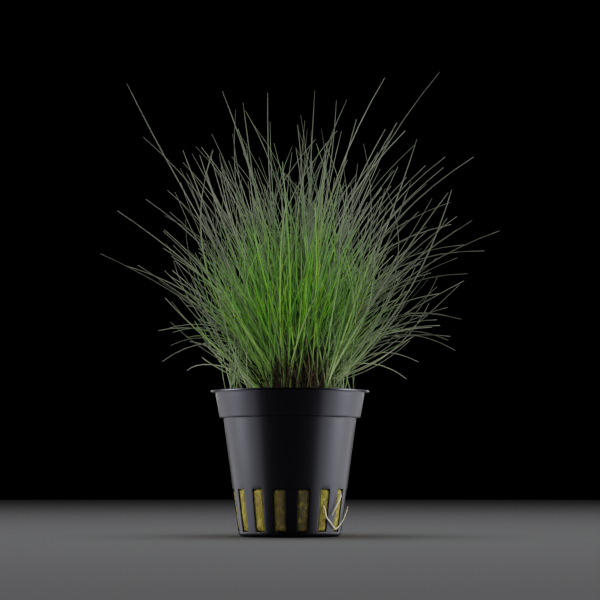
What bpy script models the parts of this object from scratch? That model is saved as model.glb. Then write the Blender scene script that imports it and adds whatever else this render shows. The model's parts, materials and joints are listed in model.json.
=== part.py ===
"""Dwarf hairgrass in its black net pot: pot, wool plug, root crown, tufts and two stray roots.

The pot stands on z = 0 with its axis on the Z axis, and its front faces -Y. Units are metres.
"""

import math
import random

import bmesh
import bpy
from mathutils import Matrix, Vector
from mathutils.bvhtree import BVHTree

MM = 0.001
GAP = 0.3 * MM

# Colours (linear) and roughness of the materials
PLASTIC = ((0.012, 0.012, 0.015), 0.28)
WOOL = ((0.22, 0.20, 0.05), 0.95)
OLD_ROOTS = ((0.10, 0.065, 0.03), 0.9)
GREEN = ((0.12, 0.26, 0.05), 0.5)
PALE_ROOT = ((0.55, 0.50, 0.36), 0.7)

# Net pot, outer side
POT_HEIGHT = 50.5 * MM
RIM_RADIUS = 27.5 * MM
RIM_THICKNESS = 0.8 * MM
BAND_TOP_RADIUS = 25.9 * MM
BAND_FOOT_RADIUS = 24.5 * MM
BAND_HEIGHT = 9.6 * MM
BODY_TOP_RADIUS = 23.1 * MM
BODY_FOOT_RADIUS = 17.8 * MM
FOOT_ROUND = 1.4 * MM
WALL = 0.9 * MM
FLOOR = 1.2 * MM
FLOOR_FILLET = 1.0 * MM
MOUTH_CHAMFER = 0.5 * MM
RIM_ROUND = 0.2 * MM
POT_STEPS = 45
FOOT_STEPS = 2

# Upright slots round the foot and drainage slots in the floor
SLOT_COUNT = 15
SLOT_TURN = 14.0
SLOT_FOOT = 1.7 * MM
SLOT_TOP = 16.3 * MM
SLOT_FOOT_WIDTH = 3.7 * MM
SLOT_TOP_WIDTH = 4.0 * MM
SLOT_CUT_DEPTH = 6.0 * MM
DRAIN_COUNT = 8
DRAIN_INNER = 7.0 * MM
DRAIN_OUTER = 14.5 * MM
DRAIN_WIDTH = 2.6 * MM
DRAIN_CUT_HEIGHT = 4 * FLOOR

# Wool plug and root crown
HEADSPACE = 3.5 * MM
PLUG_TOP = POT_HEIGHT - HEADSPACE
PLUG_CHAMFER = 0.8 * MM
PLUG_FOOT_CHAMFER = 1.5 * MM
PLUG_STEPS = 20
CROWN_RADIUS = 18.5 * MM
CROWN_THICKNESS = 2.2 * MM
CROWN_SIDES = 26
CROWN_LUMP = 1.1 * MM
CROWN_TAPER = 0.6 * MM
CROWN_SEED = 5
CROWN_TOP = PLUG_TOP + GAP + CROWN_THICKNESS

# Culms
CULMS_PER_TUFT = 5
CULM_FOOT_RADIUS = 0.40 * MM
CULM_TIP_RADIUS = 0.17 * MM
SHEATH_RADIUS = 1.25 * MM
SHEATH_HEIGHT = 2.2 * MM
SHEATH_SHARE = 0.62
LEADER_RINGS = 4
SLIGHT_BOW = 4 * MM
FIRST_RING = 0.05
SPREAD = (1.5 * MM, 6.0 * MM)
CULM_CREASE = 75
TUFT_SEED = 32
MOST_TRIES = 160
TRIES_PER_SPOT = 10
SHORTEST_SHARE = 0.3
FOLLOWER_SHARE = (0.45, 0.96)
LEADER_WANDER = 5 * MM
DEPTH_WANDER = 5.0

# Where the tufts stand: a sunflower spiral on the crown, and a few on the wool, in degrees from +X
SPIRAL_REACH = 16.4 * MM
GOLDEN_ANGLE = math.radians(137.50776)
OUTER_REACH = 21.4 * MM
OUTER_SPOTS = (163, 182, 204, 18, -6, -27)

# How deep the round tuft is at a culm's height, and how far from the pot it is looked at
TUFT_REACH = 66 * MM
LEAST_DEPTH = 9 * MM
LOW_TIP = 90 * MM
LOW_DEPTH = 26 * MM
HIGH_TIP = 150 * MM
HIGH_DEPTH = 24 * MM
DEPTH_SHARE = (0.2, 0.95)
FOOT_SHARE = 0.26
EYE = Vector((3.5 * MM, -750 * MM, 19 * MM))

# The longest culm of each tuft: foot across, tip across, tip height and bow, in millimetres
LEADERS = (
    (-8, -57, 159, 2), (0, -51, 140, 9), (-12, -37, 135, 2), (-2, -34, 134, 5),
    (-4, -27, 141, 5), (8, -23, 156, 7), (3, -38, 131, 8), (12, -17, 152, 6),
    (13, -9, 156, 7), (3, 8, 156, -2), (12, 3, 144, 4), (14, 13, 138, 3),
    (6, 52, 163, 9), (8, 33, 161, 5), (12, 23, 146, 2), (12, 37, 145, 5),
    (0, 40, 142, 9), (15, 44, 139, -3), (4, 54, 133, 9), (7, 64, 133, 10),
    (18, 56, 121, -5), (6, 58, 112, 5), (8, 73, 107, 8), (11, 68, 100, 16),
    (9, 62, 92, 12), (13, 52, 85, 8), (-9, -66, 99, 5), (-10, -58, 95, 8),
    (-8, -60, 114, 6), (-4, -50, 118, 8), (-5, -41, 98, 6), (-21, -40, 96, -2),
    (-19, -43, 83, 1), (-15, -46, 72, 9), (-16, -45, 61, 11), (-20, -36, 58, 6),
    (12, 60, 76, 12), (12, 56, 70, 7), (18, 58, 65, 13), (19, 45, 61, 9),
    (21, 41, 55, 7),
)

# Tufts that the photo hides in or behind the core: tip across, tip deep, tip height and bow, in millimetres
INNER = (
    (-9, -12, 108, 1), (15, -11, 104, 1), (-3, 15, 119, 1), (12, 14, 112, 1),
    (2, 2, 124, 1), (-17, 4, 113, 1), (-12, -54, 104, 5), (14, -57, 95, 7),
    (-30, -45, 86, 7), (27, -43, 117, 5), (5, 60, 112, 6), (-22, 52, 97, 7),
    (26, 52, 88, 8), (-3, 48, 74, 10),
)

# Stray roots: degrees round the pot from the front, height and stand-off from the wall, in millimetres
ROOT_RADIUS = 0.25 * MM
ROOT_POINTS = 2
LONG_ROOT = (
    (38.0, 10.6, -0.45), (38.0, 9.6, 0.35), (38.6, 8.2, 0.75), (41.0, 6.6, 0.70), (46.0, 5.3, 0.62),
    (52.0, 3.8, 0.62), (57.6, 2.7, 0.66), (64.0, 3.6, 0.64), (70.0, 4.9, 0.64), (77.0, 6.4, 0.66),
    (84.0, 8.2, 0.80), (87.0, 9.2, 0.95), (86.0, 10.3, 1.10),
)
SHORT_ROOT = (
    (61.6, 15.0, -0.40), (61.0, 14.2, 0.40), (59.0, 13.0, 0.70), (56.2, 11.6, 0.66),
    (53.0, 10.0, 0.64), (50.6, 8.6, 0.64), (48.2, 7.2, 0.66),
)


def clear_scene():
    for thing in list(bpy.data.objects):
        bpy.data.objects.remove(thing, do_unlink=True)


def new_collection(name):
    collection = bpy.data.collections.new(name)
    bpy.context.scene.collection.children.link(collection)
    return collection


def plain_material(name, colour, roughness):
    material = bpy.data.materials.new(name)
    material.use_nodes = True
    shader = material.node_tree.nodes["Principled BSDF"]
    shader.inputs["Base Color"].default_value = (*colour, 1.0)
    shader.inputs["Roughness"].default_value = roughness
    shader.inputs["Metallic"].default_value = 0.0
    return material


def add_object(name, data, collection, parent, material):
    thing = bpy.data.objects.new(name, data)
    collection.objects.link(thing)
    thing.parent = parent
    if material:
        data.materials.append(material)
    return thing


def mesh_from(bm, name):
    mesh = bpy.data.meshes.new(name)
    bm.to_mesh(mesh)
    bm.free()
    return mesh


def profile_mesh(name, points):
    """A chain of edges in the XZ plane, from (radius, height) pairs."""
    bm = bmesh.new()
    corners = [bm.verts.new((radius, 0.0, height)) for radius, height in points]
    for first, second in zip(corners, corners[1:]):
        bm.edges.new((first, second))
    return mesh_from(bm, name)


def turn(thing, steps):
    screw = thing.modifiers.new("Turn", "SCREW")
    screw.steps = steps
    screw.render_steps = steps
    screw.use_merge_vertices = True
    screw.merge_threshold = 0.001 * MM
    screw.use_smooth_shade = True


def body_radius(height):
    """Outer radius of the tapered body at a height."""
    rise = POT_HEIGHT - BAND_HEIGHT - FOOT_ROUND
    share = (height - FOOT_ROUND) / rise
    return BODY_FOOT_RADIUS + share * (BODY_TOP_RADIUS - BODY_FOOT_RADIUS)


def pot_profile():
    """The wall's section, from the middle of the floor up the inside, over the rim and down."""
    step = POT_HEIGHT - BAND_HEIGHT
    inner = [
        (0.0, FLOOR),
        (body_radius(FLOOR + FLOOR_FILLET) - WALL - FLOOR_FILLET, FLOOR),
        (body_radius(FLOOR + FLOOR_FILLET) - WALL, FLOOR + FLOOR_FILLET),
        (body_radius(step) - WALL, step + WALL),
        (BAND_FOOT_RADIUS - WALL, step + WALL),
        (BAND_TOP_RADIUS - WALL, POT_HEIGHT - MOUTH_CHAMFER),
        (BAND_TOP_RADIUS - WALL + MOUTH_CHAMFER, POT_HEIGHT),
    ]
    rim = [
        (RIM_RADIUS - RIM_ROUND, POT_HEIGHT),
        (RIM_RADIUS, POT_HEIGHT - RIM_ROUND),
        (RIM_RADIUS, POT_HEIGHT - RIM_THICKNESS),
        (BAND_TOP_RADIUS, POT_HEIGHT - RIM_THICKNESS),
    ]
    outer = [
        (BAND_FOOT_RADIUS, step),
        (BODY_TOP_RADIUS, step),
    ]
    foot = []
    for corner in range(FOOT_STEPS + 1):
        angle = math.radians(90 * corner / FOOT_STEPS)
        foot.append((
            BODY_FOOT_RADIUS - FOOT_ROUND * (1 - math.cos(angle)),
            FOOT_ROUND * (1 - math.sin(angle)),
        ))
    return inner + rim + outer + foot + [(0.0, 0.0)]


def add_slot_cutters(bm):
    """Upright wedges through the wall round the foot."""
    middle = (SLOT_FOOT + SLOT_TOP) / 2
    for number in range(SLOT_COUNT):
        turned = Matrix.Rotation(math.radians(SLOT_TURN + 360 / SLOT_COUNT * number), 4, "Z")
        made = bmesh.ops.create_cube(bm, size=1.0)
        for vert in made["verts"]:
            width = SLOT_TOP_WIDTH if vert.co.z > 0 else SLOT_FOOT_WIDTH
            across = vert.co.x * width
            back = vert.co.y * SLOT_CUT_DEPTH - BODY_FOOT_RADIUS
            up = middle + vert.co.z * (SLOT_TOP - SLOT_FOOT)
            vert.co = turned @ Vector((across, back, up))


def add_drain_cutters(bm):
    """Radial bars through the floor."""
    middle = (DRAIN_INNER + DRAIN_OUTER) / 2
    for number in range(DRAIN_COUNT):
        turned = Matrix.Rotation(math.radians(360 / DRAIN_COUNT * number), 4, "Z")
        made = bmesh.ops.create_cube(bm, size=1.0)
        for vert in made["verts"]:
            across = vert.co.x * DRAIN_WIDTH
            back = vert.co.y * (DRAIN_OUTER - DRAIN_INNER) - middle
            up = vert.co.z * DRAIN_CUT_HEIGHT
            vert.co = turned @ Vector((across, back, up))


def build_pot(parts, cutters, parent):
    pot = add_object(
        "net_pot", profile_mesh("net_pot", pot_profile()), parts, parent,
        plain_material("black plastic", *PLASTIC),
    )
    turn(pot, POT_STEPS)
    bm = bmesh.new()
    add_slot_cutters(bm)
    add_drain_cutters(bm)
    cutter = add_object("pot_cutter", mesh_from(bm, "pot_cutter"), cutters, parent, None)
    cutter.hide_render = True
    cutter.display_type = "WIRE"
    cut = pot.modifiers.new("Slots", "BOOLEAN")
    cut.operation = "DIFFERENCE"
    cut.solver = "EXACT"
    cut.object = cutter


def build_plug(parts, parent):
    """The wool fills the pot's inside, a gap clear of its wall, floor and shelf."""
    step = POT_HEIGHT - BAND_HEIGHT
    clear = WALL + GAP
    foot = FLOOR + GAP
    shelf = step + WALL + GAP
    profile = [
        (0.0, PLUG_TOP),
        (BAND_FOOT_RADIUS - clear - PLUG_CHAMFER, PLUG_TOP),
        (BAND_FOOT_RADIUS - clear, PLUG_TOP - PLUG_CHAMFER),
        (BAND_FOOT_RADIUS - clear, shelf),
        (BODY_TOP_RADIUS - clear, shelf),
        (body_radius(foot + PLUG_FOOT_CHAMFER) - clear, foot + PLUG_FOOT_CHAMFER),
        (body_radius(foot) - clear - PLUG_FOOT_CHAMFER, foot),
        (0.0, foot),
    ]
    plug = add_object(
        "rockwool_plug", profile_mesh("rockwool_plug", profile), parts, parent,
        plain_material("mineral wool", *WOOL),
    )
    turn(plug, PLUG_STEPS)


def build_crown(parts, parent):
    """A low mat of rhizomes with a flat top and a lumpy edge."""
    lumps = random.Random(CROWN_SEED)
    bm = bmesh.new()
    bmesh.ops.create_cone(
        bm, cap_ends=True, cap_tris=False, segments=CROWN_SIDES,
        radius1=CROWN_RADIUS, radius2=CROWN_RADIUS - CROWN_TAPER, depth=CROWN_THICKNESS,
    )
    for vert in bm.verts:
        reach = 1.0 - CROWN_LUMP * lumps.random() / CROWN_RADIUS
        vert.co.x *= reach
        vert.co.y *= reach
    crown = add_object(
        "root_crown", mesh_from(bm, "root_crown"), parts, parent,
        plain_material("old roots", *OLD_ROOTS),
    )
    crown.location.z = PLUG_TOP + GAP + CROWN_THICKNESS / 2


class Culm:
    """One culm: its leader's bowed line up to a share of its length, and a widening offset."""

    def __init__(self, foot, tip, bow, turned, share=1.0, spread=0.0, leader_turned=None):
        self.rings = max(2, round((LEADER_RINGS if abs(bow) > SLIGHT_BOW else LEADER_RINGS - 1) * share))
        self.foot = foot
        self.chord = tip - foot
        direction = self.chord.normalized()
        rise = Vector((0, 0, 1)) - direction * direction.z
        self.bow = rise.normalized() * bow
        self.turned = turned
        self.share = share
        self.spread = spread
        self.leader_turned = turned if leader_turned is None else leader_turned

    def middle_line(self, along):
        return self.foot + self.chord * along + self.bow * (4 * along * (1 - along))

    def frame(self, along):
        """The turn from +Z to the leader's direction at a share of its length."""
        tangent = self.chord + self.bow * (4 * (1 - 2 * along))
        return Vector((0, 0, 1)).rotation_difference(tangent)

    def spoke(self, angle):
        return Vector((math.cos(angle), math.sin(angle), 0.0))

    def at(self, along):
        """The culm's middle at a share of its own length."""
        reach = along * self.share
        offset = self.spoke(self.turned) * SHEATH_RADIUS * SHEATH_SHARE
        apart = self.spoke(self.turned) - self.spoke(self.leader_turned)
        return self.middle_line(reach) + self.frame(reach) @ (offset + apart * self.spread * along)

    def direction(self, along):
        step = 0.01
        return self.at(min(along + step, 1.0)) - self.at(max(along - step, 0.0))

    def radius(self, along):
        return CULM_FOOT_RADIUS + (CULM_TIP_RADIUS - CULM_FOOT_RADIUS) * along

    def ring_shares(self):
        """Where the rings of its faceted tube stand, as shares of its length."""
        return [FIRST_RING + (1.0 - FIRST_RING) * ring / self.rings for ring in range(self.rings + 1)]


def culm_skin(culm, extra):
    """The culm's faceted tube, fatter by the wanted clearance, for the overlap test."""
    corners, faces = [], []
    shares = [0.0] + culm.ring_shares()
    for ring, along in enumerate(shares):
        turned = Vector((0, 0, 1)).rotation_difference(culm.direction(along))
        reach = SHEATH_RADIUS * SHEATH_SHARE if ring == 0 else culm.radius(along)
        for side in range(3):
            spoke = culm.spoke(culm.turned + math.pi + side * math.tau / 3)
            corners.append(culm.at(along) + turned @ spoke * (reach + extra))
    for ring in range(len(shares) - 1):
        for side in range(3):
            low = 3 * ring + side
            beside = 3 * ring + (side + 1) % 3
            faces.append((low, beside, beside + 3, low + 3))
    last = len(corners) - 3
    faces.append((last, last + 1, last + 2))
    return BVHTree.FromPolygons(corners, faces)


def tip_at_depth(across, height, deep):
    """A tip seen at this place in the plane of the pot's axis, moved along the line of sight."""
    seen = Vector((across * MM, 0.0, height * MM))
    return EYE + (seen - EYE) * (deep - EYE.y) / -EYE.y


def polar(reach, angle, height):
    return Vector((reach * math.cos(angle), reach * math.sin(angle), height))


def tuft_spots(count):
    """Tops of the sheaths: on the crown's spiral, and a few farther out, straight on the wool."""
    on_crown = count - len(OUTER_SPOTS)
    spots = []
    for number in range(on_crown):
        reach = SPIRAL_REACH * math.sqrt((number + 0.5) / on_crown)
        spots.append(polar(reach, GOLDEN_ANGLE * number, CROWN_TOP + GAP + SHEATH_HEIGHT))
    for degrees in OUTER_SPOTS:
        spots.append(polar(OUTER_REACH, math.radians(degrees), PLUG_TOP + GAP + SHEATH_HEIGHT))
    return spots


def rim_skin():
    """The pot's rim as a plain ring, which the low culms have to pass over."""
    inside, outside = BAND_TOP_RADIUS - WALL - GAP, RIM_RADIUS + GAP
    bottom, top = POT_HEIGHT - 2 * MM, POT_HEIGHT + GAP
    section = ((inside, bottom), (inside, top), (outside, top), (outside, bottom))
    corners, faces = [], []
    for step in range(POT_STEPS):
        for reach, height in section:
            corners.append(polar(reach, math.tau * step / POT_STEPS, height))
    for step in range(POT_STEPS):
        for side in range(4):
            here, there = 4 * step, 4 * ((step + 1) % POT_STEPS)
            across = (side + 1) % 4
            faces.append((here + side, here + across, there + across, there + side))
    return BVHTree.FromPolygons(corners, faces)


def wanted_tufts():
    """(foot, tip, bow) wishes for each tuft: the inner ones, then the others, the farthest-reaching first."""
    depths = random.Random(TUFT_SEED)
    wishes = []
    for number, (foot, across, height, bow) in enumerate(LEADERS):
        room = math.sqrt(max(TUFT_REACH ** 2 - (across * MM) ** 2, LEAST_DEPTH ** 2))
        if height * MM < LOW_TIP:
            room = min(room, LOW_DEPTH)
        elif height * MM > HIGH_TIP:
            room = min(room, HIGH_DEPTH)
        side = 1 if number % 2 else -1
        deep = side * room * depths.uniform(*DEPTH_SHARE)
        tip = tip_at_depth(across, height, deep)
        wishes.append((Vector((foot * MM, deep * FOOT_SHARE, 0.0)), tip, bow * MM))
    wishes.sort(key=lambda wish: -Vector((wish[1].x, wish[1].y)).length)
    inner = []
    for across, deep, height, bow in INNER:
        tip = Vector((across * MM, deep * MM, height * MM))
        inner.append((Vector((tip.x * FOOT_SHARE, tip.y * FOOT_SHARE, 0.0)), tip, bow * MM))
    return inner + wishes


def touches(skin, skins):
    return any(skin.overlap(other) for other in skins)


def grow_leader(foot, tip, bow, spots, skins, draws):
    """The tuft's longest culm. Where it would touch another, its foot and tip are drawn again."""
    for attempt in range(MOST_TRIES):
        nearest = sorted(spots, key=lambda free: (free.xy - foot.xy).length)
        low = draws.choice(nearest[:1 + attempt // TRIES_PER_SPOT])
        wander = LEADER_WANDER * attempt / MOST_TRIES
        shift = Vector((draws.uniform(-wander, wander), 0.0, draws.uniform(-wander, wander)))
        shift.y = draws.uniform(-wander, wander) * DEPTH_WANDER
        end = tip + shift
        turned = math.atan2(end.y - low.y, end.x - low.x)
        culm = Culm(low, end, bow, turned)
        if not touches(culm_skin(culm, GAP), skins):
            break
    spots.remove(low)
    return culm


def grow_follower(leader, bow, number, skins, draws):
    """A shorter culm beside the leader, or None. Where it would touch another, it is drawn again, shorter."""
    turned = leader.turned + number * math.tau / CULMS_PER_TUFT
    for attempt in range(MOST_TRIES):
        patience = 1.0 - attempt / MOST_TRIES
        share = draws.uniform(*FOLLOWER_SHARE) * (SHORTEST_SHARE + (1.0 - SHORTEST_SHARE) * patience)
        spread = draws.uniform(*SPREAD)
        tip = leader.foot + leader.chord
        culm = Culm(leader.foot, tip, bow, turned, share, spread, leader.turned)
        if not touches(culm_skin(culm, GAP), skins):
            return culm
    return None


def grow_tufts():
    """The culms of every tuft, each clear of all the earlier tufts."""
    draws = random.Random(TUFT_SEED + 1)
    wishes = wanted_tufts()
    spots = tuft_spots(len(wishes))
    grown, skins = [], [rim_skin()]
    for foot, tip, bow in wishes:
        leader = grow_leader(foot, tip, bow, spots, skins, draws)
        followers = [grow_follower(leader, bow, number, skins, draws) for number in range(1, CULMS_PER_TUFT)]
        tuft = [leader] + [culm for culm in followers if culm]
        skins.extend(culm_skin(culm, 0.0) for culm in tuft)
        grown.append(tuft)
    return grown


def tuft_mesh(name, tuft):
    """The sheath is a cone whose top faces are drawn out, ring by ring, along the culms."""
    leader = tuft[0]
    lean = leader.frame(0.0)
    bm = bmesh.new()
    bmesh.ops.create_cone(
        bm, cap_ends=True, cap_tris=True, segments=CULMS_PER_TUFT,
        radius1=SHEATH_RADIUS, radius2=SHEATH_RADIUS, depth=SHEATH_HEIGHT,
    )
    half_side = math.pi / CULMS_PER_TUFT
    corner = max(bm.verts, key=lambda vert: vert.co.xy.length)
    start = math.atan2(corner.co.y, corner.co.x)
    spin = Matrix.Rotation(leader.turned - half_side - start, 4, "Z")
    bmesh.ops.transform(bm, matrix=spin, verts=bm.verts)
    foot = leader.foot - Vector((0, 0, SHEATH_HEIGHT / 2))
    tops = [face for face in bm.faces if face.calc_center_median().z > SHEATH_HEIGHT / 4]
    spokes = {}
    for face in tops:
        middle = face.calc_center_median()
        facing = math.atan2(middle.y, middle.x)
        grown = [culm for culm in tuft if math.cos(culm.turned - facing) > math.cos(half_side)]
        corners = []
        for vert in face.verts:
            corners.append((vert, (vert.co.xy - middle.xy).normalized().to_3d()))
        spokes[face] = (grown, corners)
    for vert in bm.verts:
        if vert.co.z > 0:
            flat = Vector((vert.co.x, vert.co.y, 0.0))
            vert.co = leader.foot + lean @ flat
        else:
            vert.co = foot + vert.co
    for face in tops:
        grown, corners = spokes[face]
        places = [(vert.co.copy(), spoke) for vert, spoke in corners]
        for culm, along in [(culm, along) for culm in grown for along in culm.ring_shares()]:
            made = bmesh.ops.extrude_discrete_faces(bm, faces=[face])
            face = made["faces"][0]
            turned = Vector((0, 0, 1)).rotation_difference(culm.direction(along))
            drawn = []
            for vert in face.verts:
                spoke = min(places, key=lambda place: (place[0] - vert.co).length)[1]
                drawn.append((vert, spoke))
            for vert, spoke in drawn:
                vert.co = culm.at(along) + turned @ spoke * culm.radius(along)
            places = [(vert.co.copy(), spoke) for vert, spoke in drawn]
    return mesh_from(bm, name)


def build_tufts(parts, parent):
    green = plain_material("culm", *GREEN)
    for number, tuft in enumerate(grow_tufts(), start=1):
        name = f"tuft_{number:02d}"
        mesh = tuft_mesh(name, tuft)
        mesh.shade_smooth()
        mesh.set_sharp_from_angle(angle=math.radians(CULM_CREASE))
        add_object(name, mesh, parts, parent, green)


def root_route(points):
    """Points round the pot's wall, through a smooth curve on the hand-set ones."""
    corners = []
    for degrees, height, standoff in points:
        angle = math.radians(degrees)
        reach = body_radius(height * MM) + standoff * MM
        corners.append(Vector((reach * math.sin(angle), -reach * math.cos(angle), height * MM)))
    corners = [corners[0] * 2 - corners[1]] + corners + [corners[-1] * 2 - corners[-2]]
    route = []
    for before, start, end, after in zip(corners, corners[1:], corners[2:], corners[3:]):
        for step in range(ROOT_POINTS):
            t = step / ROOT_POINTS
            route.append(0.5 * (
                2 * start + (end - before) * t
                + (2 * before - 5 * start + 4 * end - after) * t ** 2
                + (3 * start - before - 3 * end + after) * t ** 3
            ))
    return route + [corners[-2]]


def build_root(name, points, parts, parent, material):
    curve = bpy.data.curves.new(name, "CURVE")
    curve.dimensions = "3D"
    curve.bevel_depth = ROOT_RADIUS
    curve.bevel_resolution = 1
    curve.use_fill_caps = True
    route = root_route(points)
    spline = curve.splines.new("POLY")
    spline.points.add(len(route) - 1)
    for point, place in zip(spline.points, route):
        point.co = (*place, 1.0)
    add_object(name, curve, parts, parent, material)


def main():
    clear_scene()
    parts = new_collection("dwarf_hairgrass")
    cutters = new_collection("cutters")
    parent = bpy.data.objects.new("plant", None)
    parts.objects.link(parent)
    build_pot(parts, cutters, parent)
    build_plug(parts, parent)
    build_crown(parts, parent)
    build_tufts(parts, parent)
    pale = plain_material("pale root", *PALE_ROOT)
    build_root("stray_root_long", LONG_ROOT, parts, parent, pale)
    build_root("stray_root_short", SHORT_ROOT, parts, parent, pale)


main()
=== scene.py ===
"""Looks of the potted dwarf hairgrass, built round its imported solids: pot, wool, root mat, culms and stray roots."""

import json
import math
import random

import bmesh
import bpy
from bpy.props import FloatProperty, FloatVectorProperty, IntProperty, PointerProperty
from mathutils import Matrix, Vector, noise
from mathutils.bvhtree import BVHTree

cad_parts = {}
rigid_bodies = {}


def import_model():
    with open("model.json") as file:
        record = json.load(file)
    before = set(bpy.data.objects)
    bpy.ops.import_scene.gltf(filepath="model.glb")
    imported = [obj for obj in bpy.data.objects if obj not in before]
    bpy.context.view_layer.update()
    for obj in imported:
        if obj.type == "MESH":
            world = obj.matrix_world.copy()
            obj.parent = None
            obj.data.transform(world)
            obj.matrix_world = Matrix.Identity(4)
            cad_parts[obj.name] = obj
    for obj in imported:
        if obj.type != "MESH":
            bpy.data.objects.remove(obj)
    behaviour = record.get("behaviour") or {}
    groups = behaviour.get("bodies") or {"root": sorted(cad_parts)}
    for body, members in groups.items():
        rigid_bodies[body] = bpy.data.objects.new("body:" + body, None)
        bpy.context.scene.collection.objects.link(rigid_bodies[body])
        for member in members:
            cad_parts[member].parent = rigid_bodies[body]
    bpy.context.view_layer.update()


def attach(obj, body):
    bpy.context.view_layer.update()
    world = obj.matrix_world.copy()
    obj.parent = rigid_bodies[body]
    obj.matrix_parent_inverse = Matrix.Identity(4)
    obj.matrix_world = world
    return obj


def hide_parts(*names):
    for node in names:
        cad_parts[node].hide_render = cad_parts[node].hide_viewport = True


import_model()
bpy.ops.object.select_all(action="DESELECT")

bl_info = {
    "name": "Potted Dwarf Hairgrass",
    "version": (1, 0, 0),
    "blender": (4, 5, 0),
    "location": "View3D > Sidebar > Hairgrass",
    "description": "Builds a tuft of dwarf hairgrass in its black slotted net pot",
    "category": "Object",
}

MM = 0.001
GAP = 0.3 * MM
BODY = "root"

# The pot, the same sizes as its solid
POT_HEIGHT = 50.5 * MM
RIM_RADIUS = 27.5 * MM
RIM_THICKNESS = 0.8 * MM
BAND_TOP_RADIUS = 25.9 * MM
BAND_FOOT_RADIUS = 24.5 * MM
BAND_HEIGHT = 9.6 * MM
BODY_TOP_RADIUS = 23.1 * MM
BODY_FOOT_RADIUS = 17.8 * MM
FOOT_ROUND = 1.4 * MM
WALL = 0.9 * MM
SKIN = 0.5 * MM
FLOOR = 1.2 * MM
SLOT_COUNT = 15
SLOT_TURN = 14.0
SLOT_HALF = 6.0
SLOT_FOOT = 1.7 * MM
SLOT_TOP = 16.3 * MM
DRAIN_COUNT = 8
DRAIN_HALF = 7.0
DRAIN_INNER = 7.0 * MM
DRAIN_OUTER = 14.5 * MM
POT_SIDES = 180

# Wool plug and root crown
PLUG_TOP = POT_HEIGHT - 3.5 * MM
CROWN_FOOT = PLUG_TOP + GAP
CROWN_TOP = CROWN_FOOT + 2.2 * MM
CROWN_RADIUS = 18.2 * MM

# The brown patch of dead stems at the front of the crown
PATCH = Vector((4.5 * MM, -11 * MM, 0.0))
PATCH_RADIUS = 8 * MM

# The middle of the hollow behind the patch, where the culms get painted shade
CAVE = Vector((4.5 * MM, -5 * MM, 0.0))

# The middle of the darker patch on the wool behind the front slots: painted shade, and algae
DARK_WOOL = Vector((2.8 * MM, -18 * MM, 0.0))

# The growth rule of the tufts, the same as in the solids
CULMS_PER_TUFT = 5
CULM_FOOT_RADIUS = 0.40 * MM
CULM_TIP_RADIUS = 0.17 * MM
SHEATH_RADIUS = 1.25 * MM
SHEATH_HEIGHT = 2.2 * MM
SHEATH_SHARE = 0.62
LEADER_RINGS = 4
SLIGHT_BOW = 4 * MM
FIRST_RING = 0.05
SPREAD = (1.5 * MM, 6.0 * MM)
TUFT_SEED = 32
MOST_TRIES = 160
FOLLOWER_SHARE = (0.45, 0.96)
LEADER_WANDER = 5 * MM
DEPTH_WANDER = 5.0
SPIRAL_REACH = 16.4 * MM
GOLDEN_ANGLE = math.radians(137.50776)
OUTER_REACH = 21.4 * MM
OUTER_SPOTS = (163, 182, 204, 18, -6, -27)
TUFT_REACH = 66 * MM
LEAST_DEPTH = 9 * MM
LOW_TIP = 90 * MM
LOW_DEPTH = 26 * MM
HIGH_TIP = 150 * MM
HIGH_DEPTH = 24 * MM
DEPTH_SHARE = (0.2, 0.95)
FOOT_SHARE = 0.26
RIM_STEPS = 45
CHECKED_POINTS = 16
CROSSING_ROOM = 22.5 * MM
EDGE_ROOM = 24.3 * MM

# How far from the middle the fine culms stand
FINE_REACH = 10.5 * MM

# The middle of the place that the feet are drawn towards
BASE = Vector((3.0 * MM, 0.0, 0.0))

# Where the photo's eye stands, and how it looks
EYE = Vector((3.5 * MM, -750 * MM, 19 * MM))
EYE_PITCH = 4.8
EYE_FOCAL = 129.4

# The longest culm of each tuft: foot across, tip across, tip height and bow, in millimetres
LEADERS = (
    (-8, -57, 159, 2), (0, -51, 140, 9), (-12, -37, 135, 2), (-2, -34, 134, 5),
    (-4, -27, 141, 5), (8, -23, 156, 7), (3, -38, 131, 8), (12, -17, 152, 6),
    (13, -9, 156, 7), (3, 8, 156, -2), (12, 3, 144, 4), (14, 13, 138, 3),
    (6, 52, 163, 9), (8, 33, 161, 5), (12, 23, 146, 2), (12, 37, 145, 5),
    (0, 40, 142, 9), (15, 44, 139, -3), (4, 54, 133, 9), (7, 64, 133, 10),
    (18, 56, 121, -5), (6, 58, 112, 5), (8, 73, 107, 8), (11, 68, 100, 16),
    (9, 62, 92, 12), (13, 52, 85, 8), (-9, -66, 99, 5), (-10, -58, 95, 8),
    (-8, -60, 114, 6), (-4, -50, 118, 8), (-5, -41, 98, 6), (-21, -40, 96, -2),
    (-19, -43, 83, 1), (-15, -46, 72, 9), (-16, -45, 61, 11), (-20, -36, 58, 6),
    (12, 60, 76, 12), (12, 56, 70, 7), (18, 58, 65, 13), (19, 45, 61, 9),
    (21, 41, 55, 7),
)

# Tufts that the photo hides in or behind the core: tip across, tip deep, tip height and bow, in millimetres
INNER = (
    (-9, -12, 108, 1), (15, -11, 104, 1), (-3, 15, 119, 1), (12, 14, 112, 1),
    (2, 2, 124, 1), (-17, 4, 113, 1), (-12, -54, 104, 5), (14, -57, 95, 7),
    (-30, -45, 86, 7), (27, -43, 117, 5), (5, 60, 112, 6), (-22, 52, 97, 7),
    (26, 52, 88, 8), (-3, 48, 74, 10),
)

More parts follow.
